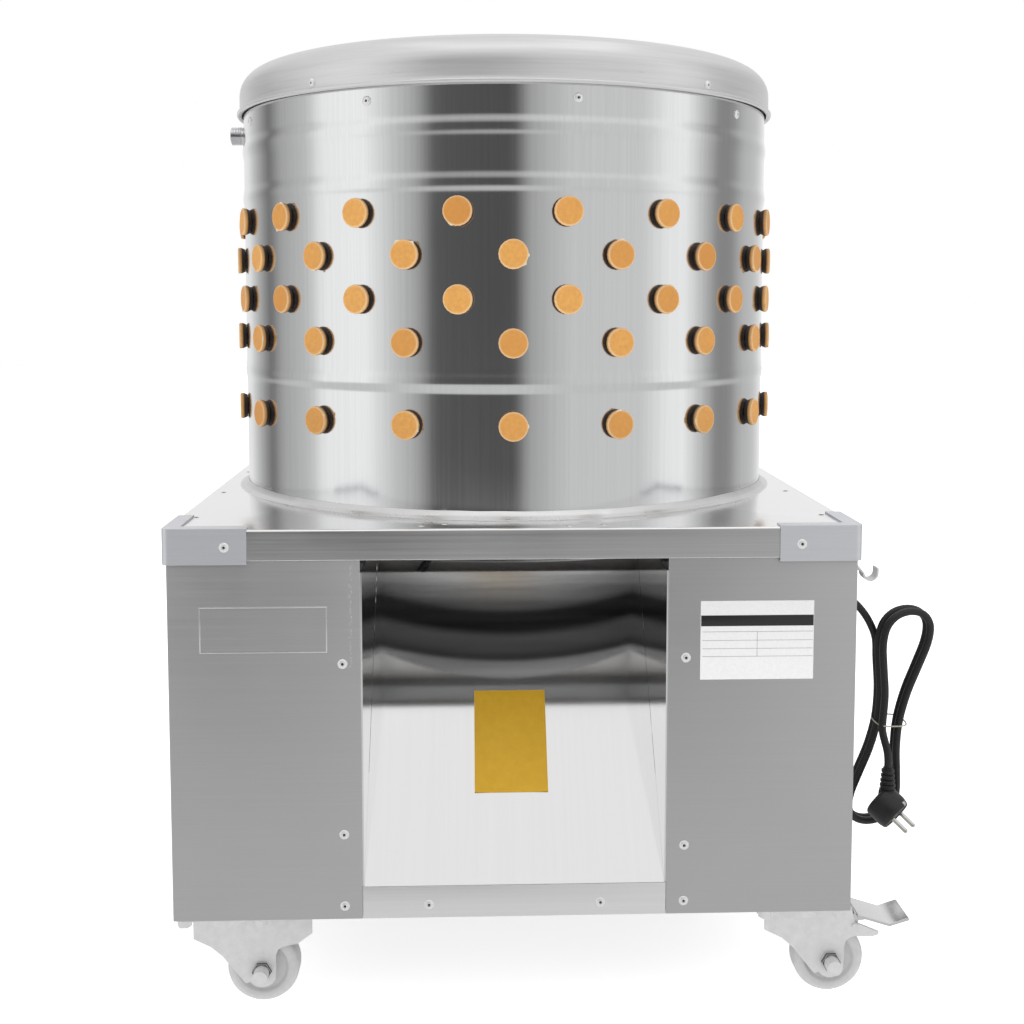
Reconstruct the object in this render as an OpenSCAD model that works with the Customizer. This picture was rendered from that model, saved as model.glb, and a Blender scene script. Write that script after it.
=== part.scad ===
// Drum plucker for poultry: a beaded drum lined with rubber fingers on a sheet cabinet with
// casters. A spinning plate with fingers forms the drum's floor, and a chute leads out at the front.
// Millimetres, +Z up, the front faces -Y, origin on the floor under the drum's axis.

/* [Cabinet] */
// Width of the top plate over its lip
plate_w = 654; // [640:1:720]
// Depth of the top plate over its lip
plate_d = 698; // [680:1:760]
// Height of the top plate's face above the floor
plate_z = 476; // [466:1:520]
// Height of the folded lip
lip_h = 29; // [24:1:36]
// Thickness of the cabinet's sheet
sheet = 1.5; // [1:0.1:2]
// Gap between the lip and the panels behind it
panel_gap = 1; // [0.5:0.1:2]
// Outer corner radius of the top plate
corner_r = 6; // [3:1:9]
// Length of a corner cap along each edge
cap_len = 79; // [60:1:100]
// Height of a corner cap
cap_h = 34; // [30:1:38]
// Width of a corner cap's top flange
cap_flange = 14; // [8:1:18]
// Side of the frame's square tube
tube = 20; // [16:1:20]
// Wall of the frame's square tube
tube_wall = 2; // [1.5:0.1:3]

/* [Chute] */
// Width between the two front panels
chute_w = 290; // [260:1:320]
// Height of the sill's top edge above the floor
sill_z = 131; // [128:1:150]
// Distance of the chute sheet's upper edge in front of the drum's axis
chute_back = 110; // [100:1:120]
// Depth of the pan's mouth in front of the chute sheet's upper edge
mouth_d = 55; // [45:1:70]
// Width of the flange that holds a chute wall to the front panel
wall_flange = 28; // [24:1:40]

/* [Drum] */
// Outer diameter of the drum
drum_d = 600; // [570:1:602]
// Wall of the drum
drum_wall = 1.5; // [1:0.1:2]
// Height of the drum's upper edge above the top plate
drum_rise = 436; // [434:1:438]
// Depth of the catch pan's floor under the top plate
pan_drop = 40; // [39:1:48]
// Height of the lowest bead above the top plate
bead_1 = 133; // [128:1:137]
// Height of the middle bead above the top plate
bead_2 = 325; // [323:1:334]
// Height of the upper bead above the top plate
bead_3 = 378; // [368:1:382]
// Radius of a bead's section
bead_r = 26; // [22:0.5:30]
// How far a bead stands out of the wall
bead_proud = 2; // [1.5:0.1:3]
// Height of the foot weld
foot_h = 8; // [5:1:12]
// Width of the foot weld
foot_w = 10; // [6:1:12]
// Lower edge of the rim ring above the top plate
rim_low = 417; // [414:1:420]
// Radius of the rim ring's rolled shoulder
rim_roll = 28; // [24:1:34]
// Sheet of the rim ring
rim_t = 2; // [1.5:0.1:2.5]
// Radius of the rim ring's rolled inner edge
rim_bead = 4; // [3:0.5:4.5]
// Radius of the rim ring's folded lower edge
rim_edge = 2.2; // [1.8:0.1:3]
// Height of the rim ring's straight skirt
rim_skirt = 21.5; // [20:0.5:24]

/* [Fingers] */
// Fingers in each row of the drum
finger_count = 18; // [12:1:20]
// Height of the first row, from the top, above the top plate
row_1 = 297; // [294:1:299]
// Height of the second row
row_2 = 256; // [252:1:260]
// Height of the third row
row_3 = 213; // [208:1:217]
// Height of the fourth row
row_4 = 171; // [168:1:174]
// Height of the lowest row
row_5 = 91; // [89:1:98]
// Diameter of a finger's head
head_d = 29; // [26:0.5:31]
// Thickness of a finger's head
head_t = 10; // [8:0.5:10]
// Diameter of a finger's neck, where it passes the wall
neck_d = 19; // [16:0.5:20]
// Diameter of a finger at its root
root_d = 24; // [22:0.5:25]
// Diameter of a finger at its tip
tip_d = 15; // [12:0.5:17]
// Length of a finger from the wall to its tip
finger_len = 95; // [80:1:95]
// Ribs along a finger
rib_count = 6; // [4:1:8]
// Depth of the grooves between ribs
rib_depth = 1.6; // [1:0.1:2.5]

/* [Rotor] */
// Diameter of the feather plate
feather_d = 564; // [540:1:570]
// Thickness of the feather plate
feather_t = 3; // [2:0.5:4]
// Depth of the feather plate's underside below the top plate
feather_drop = 24; // [23:0.5:25]
// Diameter of the main shaft
shaft_d = 30; // [24:1:34]
// Diameter of the driven pulley
pulley_d = 330; // [280:1:340]
// Diameter of the motor pulley
pinion_d = 55; // [50:1:70]
// Distance from the main shaft to the motor shaft
motor_y = 215; // [210:1:230]
// Height of the pulleys' lower faces above the floor
pulley_z = 152; // [148:1:158]
// Height of the pulleys
pulley_h = 22; // [18:1:24]
// Diameter of the motor's finned body
motor_d = 150; // [130:1:160]
// Diameter of the motor shaft
motor_shaft_d = 24; // [19:1:28]

/* [Casters] */
// Height from the floor to the casters' top plates
caster_h = 100; // [98:1:104]
// Diameter of a wheel
wheel_d = 70; // [64:1:72]
// Width of a wheel's tread
wheel_w = 25; // [20:1:28]
// Distance from a swivel axis to its wheel's axle
trail = 34; // [30:1:36]
// Distance of the swivel axes inside the side panels
swivel_side = 44.5; // [44:0.5:54]
// Distance of the swivel axes inside the front and back panels
swivel_end = 46.5; // [45:0.5:56]
// Sheet of a fork
fork_t = 3; // [2.5:0.1:3.5]
// Reach of a brake pedal from its swivel axis
pedal_reach = 112; // [106:1:120]
// Width of a brake pedal
pedal_w = 40; // [34:1:44]

/* [Water and power] */
// Diameter of the water inlet's thread
inlet_d = 20.96; // [16:0.01:27]
// How far the inlet stands out of the drum
inlet_out = 18; // [14:1:28]
// Gap between the rim ring and the inlet's flange under it
inlet_gap = 2; // [1.5:0.1:6]
// Diameter of the spray pipe
spray_d = 15; // [12:1:16]
// Diameter of the mains cord
cord_d = 8; // [7:0.5:8]

/* [Hidden] */
$fn = 64;

// Named clearances
fit_run = 0.05;       // running fit of a shaft, on the radius
fit_hole = 0.15;      // fastener in its hole, on the radius
fit_seat = 0.05;      // flat seat on a curved wall
fit_body = 0.3;       // gap between bodies that move
fit_press = 0.02;     // pieces of one shaft

// Cabinet planes
panel_x = plate_w / 2 - sheet - panel_gap;
panel_y = plate_d / 2 - sheet - panel_gap;
frame_x = panel_x - sheet;
frame_y = panel_y - sheet;
under_z = plate_z - sheet;
corner_relief = 2 * (lip_h + panel_gap);  // twice the height that a panel's corner is cut away
gusset_t = 3;
gusset_len = 112;
rail_z = caster_h + gusset_t;
rail_top = rail_z + tube;
ledger_z = pulley_z + pulley_h + 5;
motor_plate_t = 6;
motor_plate_z = ledger_z + tube;

// Drum and pan
drum_r = drum_d / 2;
drum_in = drum_r - drum_wall;
pan_z = plate_z - pan_drop;
pan_under = pan_z - sheet;
pan_x = frame_x - tube;
hem_t = 1.7;
hem_h = 18;
rim_in = drum_r + hem_t + fit_body;
rim_out = rim_in + rim_t;
rim_cx = rim_out - rim_roll;
rim_cz = plate_z + rim_low + rim_skirt;
rim_end = 150;
pan_edge = 3;         // how far the pan's front edge stands out past the drum
inlet_flange = 3;
inlet_z = plate_z + rim_low - inlet_gap - inlet_d / 2 - inlet_flange;
row_z = [plate_z + row_1, plate_z + row_2, plate_z + row_3, plate_z + row_4, plate_z + row_5];
row_turn = [0.5, 0, 0.5, 0, 0];
beads = [plate_z + bead_1, plate_z + bead_2, plate_z + bead_3];

// Fingers
head_r = head_d / 2;
neck_r = neck_d / 2;
neck_hole = neck_r + fit_hole;
shoulder = 4;
rib_pitch = (finger_len - shoulder - tip_d / 2) / rib_count;

// Feather plate and drive
feather_z = plate_z - feather_drop;
plate_rings = [[6, 78], [12, 140], [12, 196], [18, 250]];
shaft_r = shaft_d / 2;
hub_r = 50;
hub_t = 5;
stud_r = 11;
collar_r = shaft_r + 9;
collar_h = 8;
sweeper_count = 3;
sweeper_gap = 2;
sweeper_in = 60;
sweeper_t = 6;
housing_r = shaft_r + 23;
housing_low = motor_plate_z + motor_plate_t;
housing_flange_r = housing_r + 27;
housing_flange_t = 8;
bridge_w = 2 * housing_flange_r + 4;
bridge_h = 36;
bridge_wall = 3;
bridge_low = pan_under - bridge_h;
land_h = 28;
belt_h = 11;
belt_t = 9;
groove_d = belt_t + 2;
belt_z = pulley_z + (pulley_h - belt_h) / 2;
pulley_r = pulley_d / 2;
pinion_r = pinion_d / 2;
belt_lean = asin((pulley_r - pinion_r) / motor_y);
motor_r = motor_d / 2;
motor_flange_r = motor_r + 12;
motor_flange_t = 10;
motor_low = motor_plate_z + motor_plate_t;
motor_top = pan_under - 28;
motor_cover_h = 22;
fin_count = 28;
fin_h = 8;
fin_t = 3;
terminal_size = [40, 84, 78];
motor_shaft_r = motor_shaft_d / 2;

// Rivets
rivet_head_r = 4.8;
rivet_head_t = 1.8;
rivet_r = 2;
rivet_hole = rivet_r + fit_hole;
rivet_set = 1;        // length that a rivet shows behind its sheets
rivet_len = sheet + tube_wall + rivet_set;
rivet_x = chute_w / 2 + 17;
rail_rivet_z = rail_z + tube / 2;
left_rivets = [rail_rivet_z, plate_z - 293, plate_z - 128];
right_rivets = [rail_rivet_z, plate_z - 308, plate_z - 125];
sill_rivet_x = 82;
side_rivets = [-250, -85, 85, 250];
cap_rivet_in = 57;
cap_rivet_z = plate_z - 16;
drum_rivet_count = 9;
drum_rivet_turn = 12;
drum_rivet_z = inlet_z + 3;
rim_rivet_z = plate_z + rim_low + 2 * rim_edge + rivet_head_r + 0.5;
rim_rivet_turns = [-40.5, 40.5, 139.5, 220.5];

// Spray ring
spray_r = spray_d / 2;
spray_ring_r = drum_in - spray_r - 9;
clip_w = 16;
clip_t = 3;

// Casters
wheel_r = wheel_d / 2;
hub_w = wheel_w + 5;
fork_in = hub_w / 2 + fit_body;
race_h = 7;
race_gap = 9;
fork_top = caster_h - race_h - race_gap;
swivel_x = panel_x - swivel_side;
swivel_y = panel_y - swivel_end;
caster_plate_w = 86;
caster_plate_t = 2.5;
caster_bolt_in = 36;
bolt_head_r = 7;
bolt_head_t = 6.5;
fork_rise = caster_h - caster_plate_t - bolt_head_t - 1;
race_r = 27;
kingpin_r = 6;
axle_r = 4;
axle_nut_r = 9.5;
axle_nut_t = 4;
axle_end_r = 7.4;
axle_end = 12;
pedal_pivot_x = trail + 23;
pedal_pivot_z = wheel_r + 36;
pedal_pin_r = 2.5;
pedal_eye_r = 5;
pedal_t = 3;

// Switch box on the right wall
switch_y = 60;
switch_z = 330;
switch_size = [52, 84, 130];
button_r = 11;
button_gap = 26;
button_out = 8;
button_in = 14;

// Cable hook on the right wall
hook_y = -300;
hook_x = 25;
hook_drop = 54;
hook_top = plate_z - lip_h - 2;
hook_r = 8;
hook_t = 2;
hook_w = 14;
hook_tab = 16;
hook_tip = 5;

// Cord: gland on the right wall, then the lead to the tied hank
gland_y = -190;
gland_z = 372;
gland_r = 11;
gland_nut_t = 6;
gland_len = 24;
gland_tip_r = cord_d / 2 + 1.8;
cord_r = cord_d / 2;
lead_start = [panel_x + gland_len, gland_y, gland_z];
lead_points = [for (step = [[0, 0], [cord_d, 0], [18.5, -5], [29.5, -16], [38.5, -30], [44.5, -46]])
    lead_start + [step[0], 0, step[1]]];
// Hank: loops drawn in at the waist, one step apart, leaning to the right towards the top
hank_x = panel_x + 80.5;
hank_z = 240;
hank_y = -190;
hank_up = 120;
hank_down = 114;
hank_lean = 0.16;
waist_half = 11;
lobe_up = 50;
lobe_down = 46;
hank_step = 9;
hank_back = 8;        // how far the lower bends hang back behind the plug
hank_forward = 8;     // how far the last strand comes forward to the plug
hank_turns = 2;
loop_rings = 24;
hank_start = 150;
hank_end = hank_start + 360 * hank_turns + 30;
plug_relief = 26;
plug_relief_r = 8.5;
plug_r = 19;
plug_t = 26;
plug_face_r = 17;
plug_pitch = 34;      // how far the pins point below the level
plug_yaw = -42;       // and how far they turn to the front
pin_r = 2.4;
pin_len = 19;
pin_gap = 19;
tie_t = 1.6;
tie_h = 3;

function unit(v) = v / norm(v);
function lobe(a) = sin(a) > 0 ? lobe_up : lobe_down;
function rise(a) = sin(a) > 0 ? hank_up : hank_down;
function ease(t) = t * t * (3 - 2 * t);
function bezier(p, q, r, s, t) =
    pow(1 - t, 3) * p + 3 * t * pow(1 - t, 2) * q + 3 * t * t * (1 - t) * r + pow(t, 3) * s;
function hank_point(a) = [
    hank_x + hank_lean * rise(a) * sin(a) + cos(a) * (waist_half + lobe(a) * sin(a) * sin(a)),
    hank_y - hank_step * (a - hank_start) / 360 + hank_back * pow(max(0, -sin(a)), 2)
        - hank_forward * ease(max(0, (a - hank_end) / 210 + 1)),
    hank_z + rise(a) * sin(a)
];
hank_path = [for (a = [hank_start : 360 / loop_rings : hank_end]) hank_point(a)];
hank_heading = unit(hank_path[1] - hank_path[0]);
hank_last = hank_path[len(hank_path) - 1];
hank_exit = unit(hank_last - hank_path[len(hank_path) - 2]);
plug_top = [panel_x + 73.5, -226, 197];
tail_end = plug_top + [0, 0, cord_d];
tail_pull = [0, 0, 13];
hank_tail = [for (t = [0.25, 0.5, 0.75])
    bezier(hank_last, hank_last + tail_pull[2] * hank_exit, tail_end + tail_pull, tail_end, t)];
hank_route = concat(hank_path, hank_tail, [tail_end, plug_top]);
lead_route = concat(lead_points, [hank_path[0] - cord_d * hank_heading], [hank_path[0]]);

// Least gap of the hank to itself, between points more than a quarter loop apart
hank_gap = min([for (i = [0 : len(hank_route) - 2]) for (j = [i + 6 : 1 : len(hank_route) - 1])
    norm(hank_route[i] - hank_route[j])]) - cord_d;
echo(hank_least_gap = hank_gap);

// Shared shapes

module rounded_rect(w, d, r) {
    square([w - 2 * r, d], center = true);
    square([w, d - 2 * r], center = true);
    for (sx = [-1, 1]) for (sy = [-1, 1])
        translate([sx * (w / 2 - r), sy * (d / 2 - r)]) circle(r);
}

module slot(w, h) {
    square([w - h, h], center = true);
    for (side = [-1, 1]) translate([side * (w - h) / 2, 0]) circle(d = h);
}

module square_tube(length) {
    difference() {
        cube([tube, tube, length]);
        translate([tube_wall, tube_wall, -1])
            cube([tube - 2 * tube_wall, tube - 2 * tube_wall, length + 2]);
    }
}

module tube_along_x(x, y, z, length) {
    translate([x, y, z + tube]) rotate([0, 90, 0]) square_tube(length);
}

module tube_along_y(x, y, z, length) {
    translate([x, y, z + tube]) rotate([-90, 0, 0]) square_tube(length);
}

// A pop rivet whose head sits on z = 0 and points to +Z
module rivet(length) {
    rotate_extrude()
        polygon([[0, -length], [rivet_r, -length], [rivet_r, 0], [rivet_head_r, 0],
            [rivet_head_r, rivet_head_t * 0.3], [rivet_head_r * 0.6, rivet_head_t],
            [rivet_r * 0.7, rivet_head_t], [rivet_r * 0.5, rivet_head_t * 0.4],
            [0, rivet_head_t * 0.4]]);
}

module rivet_bore(depth) {
    translate([0, 0, -depth]) cylinder(r = rivet_hole, h = 2 * depth);
}

module facing_front(x, z) {
    translate([x, -panel_y, z]) rotate([90, 0, 0]) children();
}

module facing_back(x, z) {
    translate([x, panel_y, z]) rotate([-90, 0, 0]) children();
}

module facing_side(side, y, z) {
    translate([side * panel_x, y, z]) rotate([0, side * 90, 0]) children();
}

module on_drum(turn, radius, z) {
    rotate([0, 0, turn]) translate([0, -radius, z]) rotate([90, 0, 0]) children();
}

// Places of the cabinet's rivets, each facing outwards

module front_rivet_places() {
    for (z = left_rivets) facing_front(-rivet_x, z) children();
    for (z = right_rivets) facing_front(rivet_x, z) children();
}

module sill_rivet_places() {
    for (side = [-1, 1]) facing_front(side * sill_rivet_x, rail_rivet_z) children();
}

module side_rivet_places(side) {
    for (y = side_rivets) facing_side(side, y, rail_rivet_z) children();
}

module back_rivet_places() {
    for (x = side_rivets) facing_back(x, rail_rivet_z) children();
}

module cap_rivet_places() {
    for (sx = [-1, 1]) for (sy = [-1, 1]) {
        translate([sx * (plate_w / 2 - cap_rivet_in), sy * (plate_d / 2 + sheet), cap_rivet_z])
            rotate([-sy * 90, 0, 0]) children();
        translate([sx * (plate_w / 2 + sheet), sy * (plate_d / 2 - cap_rivet_in), cap_rivet_z])
            rotate([0, sx * 90, 0]) children();
    }
}

// Cabinet

module top_plate() {
    color("gainsboro")
    difference() {
        translate([0, 0, plate_z - lip_h]) linear_extrude(lip_h)
            rounded_rect(plate_w, plate_d, corner_r);
        translate([0, 0, plate_z - lip_h - 1]) linear_extrude(lip_h + 1 - sheet)
            rounded_rect(plate_w - 2 * sheet, plate_d - 2 * sheet, corner_r - sheet);
        translate([0, 0, plate_z - 10]) cylinder(r = drum_r + fit_hole, h = 20);
        cap_rivet_places() rivet_bore(3 * sheet);
    }
}

module corner_caps() {
    color("silver")
    difference() {
        intersection() {
            union() {
                translate([0, 0, plate_z + sheet - cap_h]) linear_extrude(cap_h - sheet)
                    difference() {
                        rounded_rect(plate_w + 2 * sheet, plate_d + 2 * sheet, corner_r + sheet);
                        rounded_rect(plate_w, plate_d, corner_r);
                    }
                translate([0, 0, plate_z]) linear_extrude(sheet)
                    difference() {
                        rounded_rect(plate_w + 2 * sheet, plate_d + 2 * sheet, corner_r + sheet);
                        square([plate_w - 2 * cap_flange, plate_d - 2 * cap_flange], center = true);
                    }
            }
            for (sx = [-1, 1]) for (sy = [-1, 1])
                translate([sx * (plate_w / 2 + sheet - cap_len / 2),
                    sy * (plate_d / 2 + sheet - cap_len / 2), plate_z])
                    cube([cap_len, cap_len, 3 * cap_h], center = true);
        }
        cap_rivet_places() rivet_bore(3 * sheet);
    }
}

module front_panel(side) {
    width = panel_x - chute_w / 2;
    color("darkgray")
    difference() {
        translate([side > 0 ? chute_w / 2 : -panel_x, -panel_y, caster_h])
            cube([width, sheet, under_z - caster_h]);
        front_rivet_places() rivet_bore(4 * sheet);
        translate([side * panel_x, -panel_y, plate_z])
            cube([2 * corner_r, 4 * sheet, corner_relief], center = true);
    }
}

module side_panel(side) {
    color("darkgray")
    difference() {
        translate([side > 0 ? frame_x : -panel_x, -frame_y, caster_h])
            cube([sheet, 2 * frame_y, under_z - caster_h]);
        side_rivet_places(side) rivet_bore(4 * sheet);
        for (end = [-1, 1]) translate([side * panel_x, end * frame_y, plate_z])
            cube([4 * sheet, 2 * corner_r, corner_relief], center = true);
        if (side > 0) facing_side(1, gland_y, gland_z)
            cylinder(r = cord_r + 1, h = 8 * sheet, center = true);
    }
}

module back_panel() {
    slots = 9;
    slot_w = 70;
    slot_h = 6;
    slot_step = 16;
    color("darkgray")
    difference() {
        translate([-panel_x, frame_y, caster_h])
            cube([2 * panel_x, sheet, under_z - caster_h]);
        back_rivet_places() rivet_bore(4 * sheet);
        for (end = [-1, 1]) translate([end * panel_x, panel_y, plate_z])
            cube([2 * corner_r, 4 * sheet, corner_relief], center = true);
        for (i = [0 : slots - 1]) for (x = [-120, 0, 120])
            translate([x, panel_y, motor_low + 40 + i * slot_step]) rotate([90, 0, 0])
                linear_extrude(6 * sheet, center = true) slot(slot_w, slot_h);
    }
}

module sill_rail() {
    color("silver")
    difference() {
        translate([-chute_w / 2 + fit_hole, -panel_y, caster_h])
            cube([chute_w - 2 * fit_hole, sheet, sill_z - caster_h]);
        sill_rivet_places() rivet_bore(4 * sheet);
    }
}

// The chute's slope seen from the side, from the sill up to the pan: y and z
chute_line = [[-frame_y, sill_z], [-chute_back, pan_under]];
chute_lean = atan2(chute_line[1][1] - chute_line[0][1], chute_line[1][0] - chute_line[0][0]);

// A sloping sheet whose lower end folds down behind the sill
module chute_sheet() {
    skew = [sheet / sin(chute_lean), 0];
    color("whitesmoke")
    translate([-chute_w / 2 + sheet + fit_hole, 0, 0])
        rotate([90, 0, 90]) linear_extrude(chute_w - 2 * sheet - 2 * fit_hole)
        polygon([[-frame_y, rail_top], chute_line[0], chute_line[1], chute_line[1] + skew,
            [-frame_y + sheet, sill_z - (skew[0] - sheet) * tan(chute_lean)], [-frame_y + sheet, rail_top]]);
}

module chute_wall(side) {
    edge = [5, 0];
    color("silver")
    difference() {
        union() {
            translate([side > 0 ? chute_w / 2 - sheet : -chute_w / 2, 0, 0]) rotate([90, 0, 90])
                linear_extrude(sheet) polygon([[-frame_y, rail_top], [-frame_y, pan_under],
                    chute_line[1] + edge, chute_line[0] + edge, [-frame_y + edge[0], rail_top]]);
            translate([side > 0 ? chute_w / 2 : -chute_w / 2 - wall_flange, -frame_y, rail_top])
                cube([wall_flange, sheet, under_z - tube - rail_top]);
        }
        front_rivet_places() rivet_bore(4 * sheet);
    }
}

module catch_pan() {
    flange = pan_drop - sheet - 2;
    mouth = chute_w - 2 * sheet;
    edge_r = drum_r + pan_edge;
    color("silver")
    difference() {
        union() {
            translate([-pan_x, -edge_r, pan_under]) cube([2 * pan_x, 2 * edge_r, sheet]);
            for (side = [-1, 1])
                translate([side > 0 ? pan_x - sheet : -pan_x, -edge_r, pan_under])
                    cube([sheet, 2 * edge_r, flange]);
            translate([0, 0, pan_z]) cylinder(r = collar_r + sheet, h = collar_h);
        }
        translate([-mouth / 2, -chute_back - mouth_d, pan_under - 1]) cube([mouth, mouth_d, 3 * sheet]);
        translate([0, 0, pan_under - 1]) difference() {
            translate([-mouth / 2, -edge_r - 1, 0]) cube([mouth, mouth / 2, 3 * sheet]);
            translate([0, 0, -1]) cylinder(r = edge_r, h = 3 * sheet + 2, $fn = 128);
        }
        translate([0, 0, pan_under - 1]) cylinder(r = collar_r, h = 3 * pan_drop);
    }
}

// Frame

module frame_posts() {
    color("gray") {
        for (x = [-frame_x, frame_x - tube]) {
            for (y = [-frame_y, frame_y - tube])
                translate([x, y, rail_top]) square_tube(under_z - rail_top);
            translate([x, -tube / 2, rail_top]) square_tube(under_z - tube - rail_top);
        }
    }
}

module base_rails() {
    color("gray")
    difference() {
        union() {
            for (y = [-frame_y, frame_y - tube]) tube_along_x(-frame_x, y, rail_z, 2 * frame_x);
            for (x = [-frame_x, frame_x - tube])
                tube_along_y(x, -frame_y + tube, rail_z, 2 * (frame_y - tube));
            for (sx = [-1, 1]) for (sy = [-1, 1])
                translate([sx * (frame_x - gusset_len / 2), sy * (frame_y - gusset_len / 2),
                    caster_h + gusset_t / 2]) cube([gusset_len, gusset_len, gusset_t], center = true);
        }
        front_rivet_places() rivet_bore(rivet_len + 1);
        sill_rivet_places() rivet_bore(rivet_len + 1);
        side_rivet_places(-1) rivet_bore(rivet_len + 1);
        side_rivet_places(1) rivet_bore(rivet_len + 1);
        back_rivet_places() rivet_bore(rivet_len + 1);
        caster_bolt_places() translate([0, 0, -1])
            cylinder(r = axle_r + fit_hole, h = 1 + gusset_t + tube_wall + 1);
    }
}

module frame_rails() {
    color("gray") {
        for (y = [-frame_y, frame_y - tube])
            tube_along_x(-frame_x + tube, y, under_z - tube, 2 * (frame_x - tube));
        for (x = [-frame_x, frame_x - tube]) {
            tube_along_y(x, -frame_y + tube, under_z - tube, 2 * (frame_y - tube));
            tube_along_y(x, tube / 2, ledger_z, frame_y - 1.5 * tube);
        }
    }
}

module pop_rivets() {
    color("white") {
        front_rivet_places() rivet(rivet_len);
        sill_rivet_places() rivet(rivet_len);
        side_rivet_places(-1) rivet(rivet_len);
        side_rivet_places(1) rivet(rivet_len);
        back_rivet_places() rivet(rivet_len);
        cap_rivet_places() rivet(2 * sheet + rivet_set);
        drum_rivet_places() rivet(drum_wall + clip_t + rivet_set);
        rim_rivet_places() rivet(rim_out - drum_in + rivet_set);
    }
}

// Drum

module drum() {
    low = pan_z;
    high = plate_z + drum_rise;
    bead_c = drum_r + bead_proud - bead_r;
    color("lightgray")
    difference() {
        rotate_extrude($fn = 128) difference() {
            union() {
                translate([0, low]) square([drum_r, high - low]);
                translate([0, high - hem_h]) square([drum_r + hem_t, hem_h]);
                for (z = beads) translate([bead_c, z]) circle(bead_r);
                polygon([[drum_in, plate_z], [drum_r + foot_w, plate_z], [drum_r, plate_z + foot_h],
                    [drum_in, plate_z + foot_h]]);
            }
            translate([0, low - 1]) square([drum_in, high - low + 2]);
            for (z = beads) translate([bead_c, z]) circle(bead_r - drum_wall);
        }
        for (row = [0 : 4]) finger_places(row)
            translate([0, 0, -20]) cylinder(r = neck_hole, h = 40);
        drum_rivet_places() rivet_bore(8);
        rim_rivet_places() rivet_bore(8);
        inlet_place() cylinder(r = inlet_d / 2 + fit_hole, h = 40, center = true);
    }
}

module finger_places(row) {
    for (i = [0 : finger_count - 1])
        on_drum((i + row_turn[row]) * 360 / finger_count, drum_r, row_z[row]) children();
}

module drum_rivet_places() {
    for (i = [0 : drum_rivet_count - 1])
        on_drum(drum_rivet_turn + i * 360 / drum_rivet_count, drum_r + fit_seat, drum_rivet_z)
            children();
}

module rim_rivet_places() {
    for (turn = rim_rivet_turns) on_drum(turn, rim_out + fit_seat, rim_rivet_z) children();
}

module inlet_place() {
    on_drum(-90, drum_r, inlet_z) children();
}

module rim_ring() {
    color("silver")
    difference() {
        rotate_extrude($fn = 128) {
            translate([rim_in, plate_z + rim_low]) square([rim_t, rim_skirt]);
            translate([rim_out + rim_edge / 2, plate_z + rim_low + rim_edge]) circle(rim_edge);
            translate([rim_cx, rim_cz]) {
                intersection() {
                    difference() {
                        circle(rim_roll);
                        circle(rim_roll - rim_t);
                    }
                    polygon([[0, 0], [2 * rim_roll, 0], [2 * rim_roll, 2 * rim_roll],
                        [2 * rim_roll * cos(rim_end), 2 * rim_roll],
                        [2 * rim_roll * cos(rim_end), 2 * rim_roll * sin(rim_end)]]);
                }
                rotate([0, 0, rim_end]) translate([rim_roll - rim_bead, 0]) circle(rim_bead);
            }
        }
        rim_rivet_places() rivet_bore(8);
    }
}

// A rubber finger: the head sits on z = 0 and points to -Z, the ribbed body points to +Z
module finger(neck) {
    taper = (root_d - tip_d) / 2 / rib_count;
    ribs = [for (i = [0 : rib_count - 1]) each [
        [root_d / 2 - i * taper, neck + shoulder + i * rib_pitch],
        [root_d / 2 - i * taper - rib_depth - taper, neck + shoulder + (i + 0.75) * rib_pitch]
    ]];
    rotate_extrude($fn = 32)
        polygon(concat(
            [[0, -head_t], [head_r - 1, -head_t], [head_r, 1 - head_t], [head_r, 0], [neck_r, 0],
                [neck_r, neck], [root_d / 2, neck]],
            ribs,
            [[tip_d / 2, neck + finger_len - tip_d / 2], [tip_d * 0.36, neck + finger_len - tip_d / 7],
                [0, neck + finger_len]]));
}

module wall_fingers(row) {
    neck = drum_wall + 0.35;
    color("orange")
    finger_places(row) translate([0, 0, fit_seat]) mirror([0, 0, 1]) finger(neck);
}

module spray_ring() {
    color("silver")
    rotate_extrude($fn = 128) translate([spray_ring_r, inlet_z]) circle(spray_r);
}

module spray_clips() {
    seat = drum_in - 0.3;
    inner = spray_ring_r - spray_r + 2;
    low = inlet_z - spray_r - clip_t - fit_seat;
    color("silver")
    difference() {
        for (i = [0 : drum_rivet_count - 1])
            rotate([0, 0, drum_rivet_turn + i * 360 / drum_rivet_count]) {
                translate([-clip_w / 2, -seat, low]) cube([clip_w, seat - inner, clip_t]);
                translate([-clip_w / 2, -seat, low]) cube([clip_w, clip_t, spray_d + 14]);
            }
        drum_rivet_places() rivet_bore(10);
    }
}

module inlet_nipple() {
    thread_r = inlet_d / 2;
    inner = drum_r - spray_ring_r - spray_r - fit_body;
    color("silver")
    inlet_place() difference() {
        union() {
            translate([0, 0, -inner]) cylinder(r = thread_r, h = inner + inlet_out);
            translate([0, 0, fit_seat]) cylinder(r = thread_r + inlet_flange, h = 3);
        }
        translate([0, 0, -inner - 1]) cylinder(r = thread_r * 0.68, h = inner + inlet_out + 2);
    }
}

// Rotor

module feather_plate() {
    color("lightgray")
    translate([0, 0, feather_z]) difference() {
        cylinder(d = feather_d, h = feather_t, $fn = 128);
        translate([0, 0, -1]) cylinder(r = stud_r + fit_run, h = feather_t + 2);
        plate_finger_places() translate([0, 0, -1]) cylinder(r = neck_hole, h = feather_t + 2);
    }
}

module plate_finger_places() {
    for (ring = plate_rings) for (i = [0 : ring[0] - 1])
        rotate([0, 0, (i + 0.5) * 360 / ring[0]]) translate([ring[1], 0, 0]) children();
}

module plate_fingers() {
    color("orange")
    translate([0, 0, feather_z - fit_seat]) plate_finger_places() finger(feather_t + 2 * fit_seat);
}

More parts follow.
